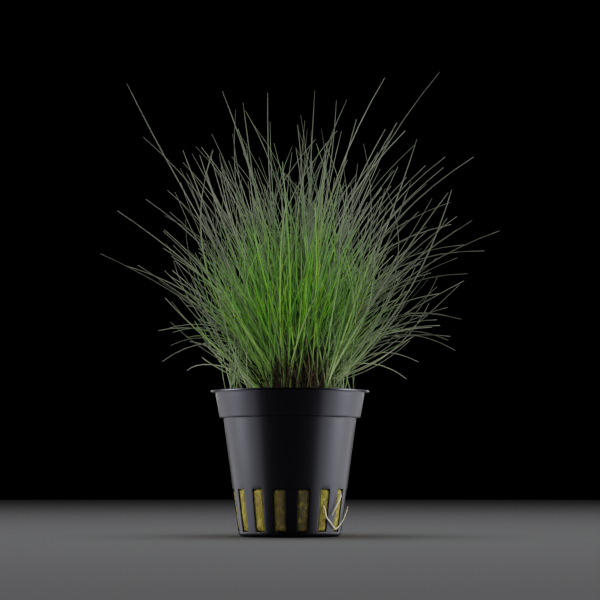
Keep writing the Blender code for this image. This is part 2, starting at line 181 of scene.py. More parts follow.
# Stray roots: degrees round the pot from the front, height and stand-off from the wall, in millimetres
LONG_ROOT = (
    (38.0, 10.6, -0.45), (38.0, 9.6, 0.35), (38.6, 8.2, 0.75), (41.0, 6.6, 0.70), (46.0, 5.3, 0.62),
    (52.0, 3.7, 0.62), (56.9, 2.75, 0.65), (57.6, 2.7, 0.66), (58.3, 2.8, 0.66), (64.0, 3.7, 0.64), (70.0, 4.9, 0.64), (77.0, 6.4, 0.66),
    (84.0, 8.2, 0.80), (87.0, 9.2, 0.95), (86.0, 10.3, 1.10),
)
SHORT_ROOT = (
    (61.6, 15.0, -0.40), (61.0, 14.2, 0.40), (59.0, 13.0, 0.70), (56.2, 11.6, 0.66),
    (53.0, 10.0, 0.64), (50.6, 8.6, 0.64), (48.2, 7.2, 0.66),
)


class PotSettings(bpy.types.PropertyGroup):
    plastic: FloatVectorProperty(
        name="Plastic", description="Colour of the pot", subtype="COLOR", size=3, default=(0.0024, 0.0023, 0.0036))
    edge: FloatProperty(
        name="Edge", description="Rounding of the moulded edges", unit="LENGTH", default=0.13 * MM)
    roughness: FloatProperty(
        name="Roughness", description="How dull the plastic is", subtype="FACTOR", min=0, max=1, default=0.30)


class WoolSettings(bpy.types.PropertyGroup):
    fresh: FloatVectorProperty(
        name="Algae green", description="Colour of the greened wool", subtype="COLOR", size=3,
        default=(0.29, 0.31, 0.026))
    ochre: FloatVectorProperty(
        name="Ochre", description="Colour of the bare wool", subtype="COLOR", size=3, default=(0.33, 0.205, 0.06))
    # The brown of the stains, also used for the painted shade behind the front slots
    stain_and_shade: FloatVectorProperty(
        name="Stain", description="Colour of the brown patches", subtype="COLOR", size=3,
        default=(0.048, 0.040, 0.014))
    side_fibres: IntProperty(
        name="Side fibres", description="Strands that show in the slots", min=0, default=1600)
    top_fibres: IntProperty(
        name="Top fibres", description="Strands on the wool's top", min=0, default=900)
    fibre_radius: FloatProperty(
        name="Fibre radius", description="Thickness of a strand", unit="LENGTH", default=0.045 * MM)


class CrownSettings(bpy.types.PropertyGroup):
    bark: FloatVectorProperty(
        name="Old root", description="Colour of the matted roots", subtype="COLOR", size=3,
        default=(0.016, 0.011, 0.007))
    strands: IntProperty(name="Strands", description="Roots that lie on the mat", min=0, default=420)
    dead_stems: IntProperty(
        name="Dead stems", description="Brown stems that stand on the patch", min=0, default=70)
    strand_radius: FloatProperty(
        name="Strand radius", description="Thickness of a root", unit="LENGTH", default=0.16 * MM)


class CulmSettings(bpy.types.PropertyGroup):
    bright: FloatVectorProperty(
        name="Bright green", description="Culms in the core", subtype="COLOR", size=3, default=(0.175, 0.50, 0.038))
    light: FloatVectorProperty(
        name="Light green", description="A few yellower culms", subtype="COLOR", size=3, default=(0.30, 0.52, 0.08))
    deep: FloatVectorProperty(
        name="Deep green", description="Darker culms", subtype="COLOR", size=3, default=(0.070, 0.235, 0.034))
    grey: FloatVectorProperty(
        name="Grey green", description="Outer ends of the culms", subtype="COLOR", size=3,
        default=(0.155, 0.170, 0.126))
    pale: FloatVectorProperty(
        name="Pale foot", description="Lowest part of a culm", subtype="COLOR", size=3, default=(0.345, 0.350, 0.260))
    dead: FloatVectorProperty(
        name="Dead stem", description="Old brown culms", subtype="COLOR", size=3, default=(0.022, 0.014, 0.007))
    radius: FloatProperty(
        name="Radius", description="Half the thickness of a culm", unit="LENGTH", default=0.24 * MM)
    crossing: IntProperty(
        name="Crossing culms", description="Long fine culms that a tuft adds", min=0, default=5)
    middle: IntProperty(
        name="Middle culms", description="Upright fine culms that a tuft adds", min=0, default=4)
    core: IntProperty(name="Core culms", description="Short fine culms that a tuft adds", min=0, default=12)
    edge: IntProperty(name="Edge culms", description="Upright culms that a tuft by the wall adds", min=0, default=6)
    front: IntProperty(
        name="Front culms", description="Thicker culms that a tuft adds before the patch", min=0, default=2)
    gather: FloatProperty(
        name="Gather", description="How far the feet are drawn together", subtype="FACTOR", min=0, max=1,
        default=0.60)
    old: IntProperty(name="Old stems", description="Short dead stems in a tuft by the patch", min=0, default=9)


class StageSettings(bpy.types.PropertyGroup):
    floor: FloatVectorProperty(
        name="Floor", description="Colour of the floor", subtype="COLOR", size=3, default=(0.55, 0.55, 0.57))
    side_light: FloatProperty(name="Side light", description="Power of each side light", unit="POWER", default=0.36)
    low_light: FloatProperty(name="Low light", description="Power of each low light", unit="POWER", default=0.046)
    front_light: FloatProperty(name="Front light", description="Power of the front light", unit="POWER", default=0.19)
    back_light: FloatProperty(name="Back light", description="Power of each back light", unit="POWER", default=0.012)
    floor_light: FloatProperty(name="Floor light", description="Power of the floor's light", unit="POWER", default=2.4)


class HairgrassSettings(bpy.types.PropertyGroup):
    pot: PointerProperty(type=PotSettings)
    wool: PointerProperty(type=WoolSettings)
    crown: PointerProperty(type=CrownSettings)
    culm: PointerProperty(type=CulmSettings)
    stage: PointerProperty(type=StageSettings)


class Signal:
    """A number that changes over a surface. Arithmetic on it adds Math nodes."""

    def __init__(self, tree, socket):
        self.tree = tree
        self.socket = socket

    def math(self, operation, *values):
        node = self.tree.nodes.new("ShaderNodeMath")
        node.operation = operation
        for socket, value in zip(node.inputs, values):
            feed(self.tree, socket, value)
        return Signal(self.tree, node.outputs[0])

    def __add__(self, other):
        return self.math("ADD", self, other)

    def __sub__(self, other):
        return self.math("SUBTRACT", self, other)

    def __rsub__(self, other):
        return self.math("SUBTRACT", other, self)

    def __mul__(self, other):
        return self.math("MULTIPLY", self, other)

    def __truediv__(self, other):
        return self.math("DIVIDE", self, other)

    def __pow__(self, other):
        return self.math("POWER", self, other)

    def clamped(self):
        return self.math("MINIMUM", self.math("MAXIMUM", self, 0.0), 1.0)

    __radd__ = __add__
    __rmul__ = __mul__


def feed(tree, socket, value):
    """Links a signal or a socket to an input, or sets the input to a plain value."""
    if isinstance(value, Signal):
        value = value.socket
    if isinstance(value, bpy.types.NodeSocket):
        tree.links.new(value, socket)
    elif hasattr(value, "__len__") and len(value) == 3 and len(socket.default_value) == 4:
        socket.default_value = (*value, 1.0)
    else:
        socket.default_value = value


class Finish:
    """One material: a Principled shader with its plain values set, and the nodes that feed it."""

    def __init__(self, name, plain):
        self.material = bpy.data.materials.new(name)
        self.material.use_nodes = True
        self.tree = self.material.node_tree
        self.shader = self.tree.nodes["Principled BSDF"]
        for socket, value in plain.items():
            self.shader.inputs[socket].default_value = value

    def node(self, kind, inputs=None, output=0, stops=None, **settings):
        made = self.tree.nodes.new(kind)
        for name, value in settings.items():
            setattr(made, name, value)
        if stops:
            ramp = made.color_ramp
            for _ in stops[2:]:
                ramp.elements.new(0.5)
            for element, (place, colour) in zip(ramp.elements, stops):
                element.position = place
                element.color = (*colour, 1.0)
        for name, value in (inputs or {}).items():
            feed(self.tree, made.inputs[name], value)
        return Signal(self.tree, made.outputs[output])

    def place(self, stretch=(1.0, 1.0, 1.0)):
        """Object coordinates, stretched."""
        spot = self.node("ShaderNodeTexCoord", output="Object")
        return self.node("ShaderNodeVectorMath", {0: spot, 1: stretch}, operation="MULTIPLY")

    def distance(self, spot, other):
        return self.node(
            "ShaderNodeVectorMath", {0: spot, 1: other}, output="Value", operation="DISTANCE")

    def radius(self):
        """Distance from the pot's axis."""
        return self.distance(self.place((1.0, 1.0, 0.0)), (0.0, 0.0, 0.0))

    def height(self):
        return self.node("ShaderNodeSeparateXYZ", {0: self.place()}, output="Z")

    def clouds(self, scale, detail=3.0, stretch=(1.0, 1.0, 1.0), roughness=0.5):
        return self.node(
            "ShaderNodeTexNoise",
            {"Vector": self.place(stretch), "Scale": scale, "Detail": detail, "Roughness": roughness},
        )

    def front_shade_and_algae(self):
        """Where the wool behind the front slots is darker, in patches: painted shade, and algae."""
        near = self.between(self.distance(self.place((1.0, 1.0, 0.0)), tuple(DARK_WOOL)), 12 * MM, 4 * MM)
        gaps = self.between(self.clouds(700.0, detail=4.0, stretch=(1.0, 1.0, 0.7)), 0.62, 0.50)
        return near * (0.55 + gaps * 0.45)

    def between(self, value, low, high):
        """A smooth step from 0 at low to 1 at high."""
        return self.node(
            "ShaderNodeMapRange", {"Value": value, "From Min": low, "From Max": high},
            interpolation_type="SMOOTHSTEP",
        )

    def attribute(self, name):
        return self.node("ShaderNodeAttribute", output="Fac", attribute_name=name)

    def blend(self, share, first, second, way="MIX"):
        return self.node(
            "ShaderNodeMix", {0: share, 6: first, 7: second}, output=2, data_type="RGBA", blend_type=way)

    def bump(self, height, depth, strength=1.0):
        self.set("Normal", self.node(
            "ShaderNodeBump", {"Height": height, "Distance": depth, "Strength": strength}))

    def set(self, socket, value):
        feed(self.tree, self.shader.inputs[socket], value)


def finish_plastic(pot):
    finish = Finish("Moulded plastic", {"Metallic": 0.0, "IOR": 1.5, "Specular Tint": (0.87, 0.85, 1.0, 1.0)})
    haze = finish.clouds(70.0, detail=4.0, stretch=(1.0, 1.0, 0.35))
    grain = finish.clouds(2600.0, detail=2.0)
    dust = finish.between(finish.clouds(420.0, detail=5.0, roughness=0.65), 0.60, 0.85)
    finish.set("Base Color", finish.blend(dust * 0.25, tuple(pot.plastic), (0.010, 0.010, 0.011)))
    worn_rim = finish.between(finish.height(), POT_HEIGHT - 0.6 * MM, POT_HEIGHT - 0.1 * MM)
    finish.set("Roughness", pot.roughness + (haze - 0.5) * 0.22 + dust * 0.14 + worn_rim * 0.35)
    finish.bump(haze * 0.8 + grain * 0.05, 0.12 * MM, 0.35)
    return finish.material


def finish_wool(wool):
    finish = Finish("Mineral wool", {"Roughness": 0.92})
    patches = finish.clouds(240.0, detail=4.0, stretch=(1.0, 1.0, 0.45), roughness=0.6)
    streaks = finish.clouds(1300.0, detail=3.0, stretch=(1.0, 1.0, 0.16))
    stains_and_shade = finish.between(finish.clouds(330.0, detail=5.0, stretch=(1.0, 1.0, 0.6), roughness=0.65), 0.52, 0.70)
    ground = finish.blend(finish.between(patches, 0.46, 0.60), tuple(wool.fresh), tuple(wool.ochre))
    ground = finish.blend((streaks - 0.42).clamped() * 1.6, ground, (0.36, 0.37, 0.055))
    # The stain mask also takes the painted shade behind the front slots
    stains_and_shade = (stains_and_shade + finish.front_shade_and_algae()).clamped()
    finish.set("Base Color", finish.blend(stains_and_shade * 0.9, ground, tuple(wool.stain_and_shade)))
    finish.bump(streaks, 0.5 * MM, 0.8)
    return finish.material


def finish_fibre(wool):
    finish = Finish("Wool fibre", {"Roughness": 0.7})
    tone = finish.attribute("tone")
    patches = finish.clouds(260.0, detail=3.0, stretch=(1.0, 1.0, 0.5))
    colour = finish.blend(tone, tuple(wool.fresh), tuple(wool.ochre))
    colour = finish.blend(finish.between(tone, 0.78, 1.0) * 0.5, colour, (0.42, 0.40, 0.12))
    # Stains on the fibres, with the painted shade behind the front slots added
    stains_and_shade = (finish.between(patches, 0.54, 0.72) * 0.7 + finish.front_shade_and_algae()).clamped()
    finish.set("Base Color", finish.blend(stains_and_shade * 0.9, colour, tuple(wool.stain_and_shade)))
    return finish.material


def finish_old_root(crown):
    finish = Finish("Old roots", {"Roughness": 0.85})
    tone = finish.attribute("tone")
    flecks = finish.clouds(900.0, detail=4.0, roughness=0.6)
    colour = finish.blend(finish.between(flecks, 0.4, 0.8), tuple(crown.bark), (0.09, 0.062, 0.035))
    finish.set("Base Color", finish.blend(finish.between(tone, 0.8, 1.0) * 0.8, colour, (0.26, 0.22, 0.11)))
    finish.bump(flecks, 0.25 * MM, 0.7)
    return finish.material


def finish_culm(culm):
    """Pale at the foot, bright green in the core, and greyer towards the outer ends, with painted shade in the plant's
    middle and in the hollow behind the patch.
    """
    finish = Finish("Culm", {"IOR": 1.4, "Specular IOR Level": 0.3})
    along = finish.attribute("along")
    tone = finish.attribute("tone")
    old = finish.attribute("old")
    grey = finish.attribute("grey")
    mottle = finish.clouds(500.0, detail=3.0, stretch=(1.0, 1.0, 0.3))
    own = finish.node("ShaderNodeMath", {0: tone * 7.3}, operation="FRACT")
    outward = finish.distance(finish.place((1.0, 0.45, 0.0)), (0.0, 0.0, 0.0))
    from_patch = finish.distance(finish.place((1.0, 1.0, 0.0)), tuple(PATCH))
    rise = finish.height()
    green = finish.blend(finish.between(tone, 0.2, 0.9), tuple(culm.bright), tuple(culm.deep))
    green = finish.blend(finish.between(tone, 0.14, 0.04), green, tuple(culm.light))
    spread = finish.between(outward, 12 * MM, 46 * MM) * 0.68
    greyed = spread + finish.between(rise, 84 * MM, 128 * MM) * 0.84
    greyed = greyed + grey * finish.between(along, 0.05, 0.60) * 0.85
    colour = finish.blend(greyed.clamped() * 0.97, green, tuple(culm.grey))
    beside = finish.between(outward, 7 * MM, 18 * MM)
    foot = finish.between(rise, 78 * MM, 50 * MM) * (0.15 + own * 0.5 + beside * 0.5)
    colour = finish.blend(foot * (0.2 + mottle * 0.8), colour, tuple(culm.pale))
    sheath = finish.between(rise, 68 * MM, 54 * MM) * finish.between(from_patch, 12 * MM, 6 * MM)
    sheath = sheath + finish.between(rise, 56 * MM, 50 * MM) * 0.2
    husk = finish.blend(finish.between(mottle, 0.45, 0.75), tuple(culm.dead), (0.15, 0.11, 0.05))
    colour = finish.blend(sheath * (mottle * 1.7 - 0.1).clamped(), colour, husk)
    # Painted shade: culms darker inside a cone round the axis that widens with height
    inner = finish.between(finish.radius() / (rise * 0.45 - 15 * MM), 0.12, 0.60)
    # Random brightness per culm and along it, times the painted shade of the plant's middle
    tone_and_painted_shade = (0.54 + mottle * 0.5 + own * 0.80) * (0.69 + inner * 0.31)
    # Painted shade in the hollow behind the patch
    hollow_shade = finish.distance(finish.place((1.0, 1.0, 0.0)), tuple(CAVE))
    hollow_shade = finish.between(hollow_shade, 12 * MM, 6 * MM) * finish.between(rise, 76 * MM, 60 * MM)
    tone_and_painted_shade = tone_and_painted_shade * (1.0 - hollow_shade * 0.85)
    # Darker towards the outer ends and towards the top
    tone_and_painted_shade = tone_and_painted_shade * (1.0 - finish.between(outward, 20 * MM, 52 * MM) * 0.33)
    tone_and_painted_shade = tone_and_painted_shade * (1.0 - finish.between(rise, 80 * MM, 130 * MM) * 0.18)
    tone_and_painted_shade = finish.node("ShaderNodeCombineColor", {0: tone_and_painted_shade, 1: tone_and_painted_shade, 2: tone_and_painted_shade})
    colour = finish.blend(1.0, colour, tone_and_painted_shade, "MULTIPLY")
    finish.set("Base Color", finish.blend(old, colour, husk))
    finish.set("Roughness", 0.48 + old * 0.35 + mottle * 0.1)
    return finish.material


def finish_live_root():
    finish = Finish("Live root", {"Roughness": 0.5})
    along = finish.attribute("along")
    flecks = finish.clouds(1100.0, detail=3.0)
    colour = finish.blend(finish.between(along, 0.45, 0.9), (0.95, 0.90, 0.62), (0.50, 0.40, 0.24))
    finish.set("Base Color", finish.blend(flecks * 0.35, colour, (0.45, 0.36, 0.16)))
    finish.bump(flecks, 0.08 * MM, 0.5)
    return finish.material


def finish_floor(stage):
    finish = Finish("Floor", {"Roughness": 0.85})
    finish.set("Base Color", tuple(stage.floor))
    return finish.material


def settle(piece, material, slot, *nodes):
    """Gives a finished piece its material and body, and hides the solids that it stands for."""
    piece.data.materials.clear()
    piece.data.materials.append(material)
    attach(piece, BODY)
    if nodes:
        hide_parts(*nodes)
    bpy.ops.object.select_all(action="DESELECT")


def pick_faces(piece, wanted):
    """Selects in edit mode the faces whose middle and normal are wanted."""
    bpy.ops.object.mode_set(mode="EDIT")
    bpy.ops.mesh.select_mode(type="FACE")
    bpy.ops.mesh.select_all(action="DESELECT")
    bpy.ops.object.mode_set(mode="OBJECT")
    for face in piece.data.polygons:
        face.select = wanted(face.center, face.normal)
    bpy.ops.object.mode_set(mode="EDIT")


def face_outward(shell):
    """Turns an open bowl's faces outward, from edit mode, and leaves it in object mode."""
    bpy.ops.mesh.select_all(action="SELECT")
    bpy.ops.mesh.normals_make_consistent(inside=False)
    bpy.ops.object.mode_set(mode="OBJECT")
    wall = max(shell.data.polygons, key=lambda face: face.center.xy.length - abs(face.normal.z))
    if wall.normal.xy.dot(wall.center.xy) < 0:
        bpy.ops.object.mode_set(mode="EDIT")
        bpy.ops.mesh.flip_normals()
        bpy.ops.object.mode_set(mode="OBJECT")


def apply_modifier(piece, kind, **settings):
    modifier = piece.modifiers.new(kind.title(), kind)
    for name, value in settings.items():
        setattr(modifier, name, value)
    bpy.ops.object.modifier_apply(modifier=modifier.name)


def draw_round(name, rows, sides):
    """A circle drawn out row by row, rows being (radius, height) pairs from the top of the outer side down."""
    radius, height = rows[0]
    bpy.ops.mesh.primitive_circle_add(vertices=sides, radius=radius, location=(0, 0, height))
    piece = bpy.context.object
    piece.name = name
    piece.data.name = name
    bpy.ops.object.transform_apply(location=True, rotation=True, scale=True)
    bpy.ops.object.mode_set(mode="EDIT")
    bpy.ops.mesh.select_mode(type="VERT")
    bpy.ops.mesh.select_all(action="SELECT")
    for next_radius, next_height in rows[1:]:
        bpy.ops.mesh.extrude_region_move(TRANSFORM_OT_translate={"value": (0, 0, next_height - height)})
        if next_radius > 0:
            ratio = next_radius / radius
            bpy.ops.transform.resize(value=(ratio, ratio, 1.0), center_override=(0, 0, next_height))
        else:
            bpy.ops.mesh.merge(type="CENTER")
        radius, height = next_radius, next_height
    bpy.ops.mesh.select_all(action="SELECT")
    bpy.ops.mesh.normals_make_consistent(inside=False)
    bpy.ops.object.mode_set(mode="OBJECT")
    return piece


def body_radius(height):
    """Outer radius of the tapered body at a height."""
    rise = POT_HEIGHT - BAND_HEIGHT - FOOT_ROUND
    share = (height - FOOT_ROUND) / rise
    return BODY_FOOT_RADIUS + share * (BODY_TOP_RADIUS - BODY_FOOT_RADIUS)


def turned_from(middle, first, step):
    """How many degrees a point lies from the nearest of a ring of equal marks, the first one given."""
    angle = math.degrees(math.atan2(middle.x, -middle.y))
    return abs((angle - first + step / 2) % step - step / 2)


def taper(low, high, steps):
    """Rows from one (radius, height) to another, the first one left out."""
    rows = []
    for number in range(1, steps + 1):
        share = number / steps
        rows.append((low[0] + share * (high[0] - low[0]), low[1] + share * (high[1] - low[1])))
    return rows


def pot_rows():
    """The outer side of the moulded sheet, from the rim's lip down to the middle of the floor."""
    step = POT_HEIGHT - BAND_HEIGHT
    under = POT_HEIGHT - RIM_THICKNESS
    rows = [
        (RIM_RADIUS, under + 0.06 * MM),
        (RIM_RADIUS - 0.25 * MM, under + 0.02 * MM),
        (RIM_RADIUS - 0.6 * MM, under),
        (BAND_TOP_RADIUS + 0.25 * MM, under),
        (BAND_TOP_RADIUS + 0.06 * MM, under - 0.06 * MM),
        (BAND_TOP_RADIUS, under - 0.25 * MM),
    ]
    rows += taper(rows[-1], (BAND_TOP_RADIUS - 0.08 * MM, under - 0.8 * MM), 1)
    rows += taper(rows[-1], (BAND_FOOT_RADIUS + 0.07 * MM, step + 0.8 * MM), 5)
    rows += [
        (BAND_FOOT_RADIUS, step + 0.3 * MM),
        (BAND_FOOT_RADIUS - 0.07 * MM, step + 0.08 * MM),
        (BAND_FOOT_RADIUS - 0.3 * MM, step),
        (BODY_TOP_RADIUS + 0.15 * MM, step),
        (BODY_TOP_RADIUS, step - 0.12 * MM),
        (body_radius(step - 0.4 * MM), step - 0.4 * MM),
        (body_radius(step - 0.9 * MM), step - 0.9 * MM),
    ]
    rows += taper(rows[-1], (body_radius(SLOT_TOP), SLOT_TOP), 12)
    rows += taper(rows[-1], (body_radius(SLOT_FOOT), SLOT_FOOT), 6)
    corner = 5
    for number in range(corner + 1):
        angle = math.radians(90 * number / corner)
        rows.append((
            BODY_FOOT_RADIUS - FOOT_ROUND * (1 - math.cos(angle)),
            FOOT_ROUND * (1 - math.sin(angle)),
        ))
    return rows + [(DRAIN_OUTER, 0.0), (DRAIN_INNER, 0.0), (2.0 * MM, 0.0), (0.0, 0.0)]


def in_slot(middle, normal):
    upright = SLOT_FOOT < middle.z < SLOT_TOP and middle.xy.length > BODY_FOOT_RADIUS - FOOT_ROUND
    across = turned_from(middle, SLOT_TURN, 360 / SLOT_COUNT) < SLOT_HALF
    return upright and across


def in_drain(middle, normal):
    flat = middle.z < 0.01 * MM and DRAIN_INNER < middle.xy.length < DRAIN_OUTER
    return flat and turned_from(middle, 0.0, 360 / DRAIN_COUNT) < DRAIN_HALF


class HAIRGRASS_OT_pot(bpy.types.Operator):
    """Moulds the black net pot with its slots, rim and rounded edges"""
    bl_idname = "hairgrass.pot"
    bl_label = "Net pot"

    def execute(self, context):
        settings = context.scene.hairgrass.pot
        pot = draw_round("pot", pot_rows(), POT_SIDES)
        pick_faces(pot, lambda middle, normal: in_slot(middle, normal) or in_drain(middle, normal))
        bpy.ops.mesh.delete(type="FACE")
        face_outward(pot)
        apply_modifier(pot, "SOLIDIFY", thickness=SKIN, offset=-1.0, use_even_offset=True)
        apply_modifier(
            pot, "BEVEL", width=settings.edge, segments=2, limit_method="ANGLE",
            angle_limit=math.radians(38), use_clamp_overlap=True)
        bpy.ops.object.shade_smooth_by_angle(angle=math.radians(42))
        settle(pot, finish_plastic(settings), "pot_plastic", "net_pot")
        return {"FINISHED"}


def make_rod(sides, segments):
    """A rod of radius 1 along +Z from 0 to 1, which the culms, roots and fibres copy."""
    bpy.ops.mesh.primitive_circle_add(vertices=sides, radius=1.0, fill_type="NGON")
    rod = bpy.context.object
    bpy.ops.object.mode_set(mode="EDIT")
    bpy.ops.mesh.select_all(action="SELECT")
    for _ in range(segments):
        bpy.ops.mesh.extrude_region_move(TRANSFORM_OT_translate={"value": (0, 0, 1.0 / segments)})
    bpy.ops.mesh.select_all(action="SELECT")
    bpy.ops.mesh.normals_make_consistent(inside=False)
    bpy.ops.object.mode_set(mode="OBJECT")
    bpy.ops.object.shade_smooth()
    mesh = rod.data
    bpy.data.objects.remove(rod)
    return mesh


class Bundle:
    """A mesh of many rods, each a copy of a master rod bent to its own path."""

    def __init__(self):
        self.bm = bmesh.new()
        self.along = self.bm.verts.layers.float.new("along")
        self.tone = self.bm.verts.layers.float.new("tone")
        self.old = self.bm.verts.layers.float.new("old")
        self.grey = self.bm.verts.layers.float.new("grey")

    def lay(self, rod, path, girth, tone=0.5, old=0.0, grey=0.0):
        """Copies the rod along path(0 to 1), as thick as girth(0 to 1) says."""
        start = len(self.bm.verts)
        self.bm.from_mesh(rod)
        self.bm.verts.ensure_lookup_table()
        rings = {}
        for vert in self.bm.verts[start:]:
            along = round(vert.co.z, 4)
            if along not in rings:
                ahead = path(min(along + 0.01, 1.0)) - path(max(along - 0.01, 0.0))
                turned = Vector((0, 0, 1)).rotation_difference(ahead)
                rings[along] = (path(along), turned, girth(along))
            middle, turned, thick = rings[along]
            vert.co = middle + turned @ Vector((vert.co.x * thick, vert.co.y * thick, 0.0))
            vert[self.along] = along
            vert[self.tone] = tone
            vert[self.old] = old
            vert[self.grey] = grey

    def finish(self, name):
        mesh = bpy.data.meshes.new(name)
        self.bm.to_mesh(mesh)
        self.bm.free()
        piece = bpy.data.objects.new(name, mesh)
        bpy.context.scene.collection.objects.link(piece)
        return piece


def round_spot(angle, radius, height):
    """A point round the axis, by degrees from the front towards +X."""
    turned = math.radians(angle)
    return Vector((radius * math.sin(turned), -radius * math.cos(turned), height))


def plug_radius(height):
    """Outer radius of the wool, a gap clear of the pot's inside."""
    step = POT_HEIGHT - BAND_HEIGHT
    if height > step + WALL + GAP:
        share = (height - step) / BAND_HEIGHT
        return BAND_FOOT_RADIUS + share * (BAND_TOP_RADIUS - BAND_FOOT_RADIUS) - WALL - GAP - 0.3 * MM
    return body_radius(height) - WALL - GAP - 0.1 * MM


def wool_rows():
    step = POT_HEIGHT - BAND_HEIGHT
    shelf = step + WALL + 1.2 * GAP
    foot = FLOOR + GAP
    rows = [(2 * MM, PLUG_TOP), (10 * MM, PLUG_TOP), (16 * MM, PLUG_TOP), (20 * MM, PLUG_TOP)]
    rows += [(22.6 * MM, PLUG_TOP), (23.4 * MM, PLUG_TOP - 0.8 * MM)]
    rows += [(plug_radius(shelf + 2 * MM), shelf + 2 * MM), (plug_radius(shelf + 0.1 * MM), shelf)]
    high, low = step - 0.5 * MM, foot + 0.5 * MM
    steps = 60
    for number in range(steps + 1):
        height = high + (low - high) * number / steps
        rows.append((plug_radius(height), height))
    return rows + [(plug_radius(foot) - 1.6 * MM, foot), (8 * MM, foot), (0.0, foot)]


def swell_in_slots(spot):
    """How far the wool pushes out into the slots at a point."""
    beside = (SLOT_HALF - 0.5 - turned_from(spot, SLOT_TURN, 360 / SLOT_COUNT)) * 0.7
    above = (spot.z - SLOT_FOOT - 0.2 * MM) / (0.5 * MM)
    below = (SLOT_TOP - 0.15 * MM - spot.z) / (0.4 * MM)
    return 1.12 * MM * max(0.0, min(1.0, beside, above, below)) ** 0.5


class HAIRGRASS_OT_wool(bpy.types.Operator):
    """Packs the pot with mineral wool and lays its loose fibres"""
    bl_idname = "hairgrass.wool"
    bl_label = "Mineral wool"

    def execute(self, context):
        settings = context.scene.hairgrass.wool
        plug = draw_round("wool", wool_rows(), 2 * POT_SIDES)
        bpy.ops.object.mode_set(mode="EDIT")
        bpy.ops.mesh.select_all(action="SELECT")
        bpy.ops.mesh.fill_holes(sides=0)
        bpy.ops.mesh.normals_make_consistent(inside=False)
        bpy.ops.object.mode_set(mode="OBJECT")
        for vert in plug.data.vertices:
            spot = vert.co.copy()
            rough = noise.fractal(spot * 900, 1.0, 2.0, 3) * 0.22 * MM - 0.18 * MM
            if spot.z < PLUG_TOP - 1.5 * MM and spot.xy.length > 8 * MM:
                outward = Vector((spot.x, spot.y, 0)).normalized()
                vert.co = spot + outward * (rough + swell_in_slots(spot))
            elif spot.z > PLUG_TOP - 0.5 * MM:
                vert.co.z = spot.z + rough * 1.2
        bpy.ops.object.select_all(action="DESELECT")
        plug.select_set(True)
        bpy.context.view_layer.objects.active = plug
        bpy.ops.object.shade_smooth()
        settle(plug, finish_wool(settings), "mineral_wool", "rockwool_plug")
        strand = make_rod(3, 4)
        fibres = Bundle()
        draws = random.Random(71)
        for _ in range(settings.side_fibres):
            self.lay_side_fibre(fibres, strand, settings, draws)
        for _ in range(settings.top_fibres):
            self.lay_top_fibre(fibres, strand, settings, draws)
        piece = fibres.finish("wool_fibres")
        settle(piece, finish_fibre(settings), "mineral_wool")
        return {"FINISHED"}

    def lay_side_fibre(self, fibres, strand, settings, draws):
        """A strand that follows the wool's side in a slot."""
        slot = SLOT_TURN + 360 / SLOT_COUNT * draws.randrange(SLOT_COUNT)
        angle = slot + draws.uniform(-0.75, 0.75) * SLOT_HALF
        height = draws.uniform(SLOT_FOOT + 1.0 * MM, SLOT_TOP - 0.8 * MM)
        slant = draws.gauss(0.0, 0.22)
        length = draws.uniform(1.6, 6.0) * MM
        curl = draws.uniform(-0.3, 0.3) * MM
        lift = draws.uniform(-0.03, 0.08) * MM

        def path(along):
            up = height + (along - 0.5) * length * math.cos(slant) + curl * 0.3 * math.sin(math.pi * along)
            up = min(max(up, SLOT_FOOT + 0.3 * MM), SLOT_TOP - 0.3 * MM)
            sideways = (along - 0.5) * length * math.sin(slant) + curl * math.sin(math.pi * along)
            turned = angle + math.degrees(sideways / BODY_FOOT_RADIUS)
            turned = min(max(turned, slot - 0.86 * SLOT_HALF), slot + 0.86 * SLOT_HALF)
            spot = round_spot(turned, 1.0, up)
            out = plug_radius(up) + swell_in_slots(spot) - 0.16 * MM + lift * math.sin(math.pi * along)
            return round_spot(turned, out, up)

        thick = settings.fibre_radius * draws.uniform(0.7, 1.6)
        fibres.lay(strand, path, lambda along: thick, tone=draws.random())

    def lay_top_fibre(self, fibres, strand, settings, draws):
        """A strand on the ring of wool round the crown."""
        angle = draws.uniform(0, 360)
        reach = draws.uniform(CROWN_RADIUS - 1.5 * MM, 22.6 * MM)
        facing = draws.uniform(0, math.tau)
        length = draws.uniform(2.0, 5.0) * MM
        curl = draws.uniform(-0.8, 0.8) * MM
        lift = draws.uniform(0.0, 0.35) * MM
        middle = round_spot(angle, reach, PLUG_TOP - 0.15 * MM)
        ahead = Vector((math.cos(facing), math.sin(facing), 0.0))
        beside = Vector((-ahead.y, ahead.x, 0.0))

        def path(along):
            arch = math.sin(math.pi * along)
            spot = middle + ahead * (along - 0.5) * length + beside * curl * arch
            out = spot.xy.length
            if out > 23.2 * MM:
                spot.x *= 23.2 * MM / out
                spot.y *= 23.2 * MM / out
            spot.z += lift * arch
            return spot

        thick = settings.fibre_radius * draws.uniform(0.8, 1.7)
        fibres.lay(strand, path, lambda along: thick, tone=draws.random())


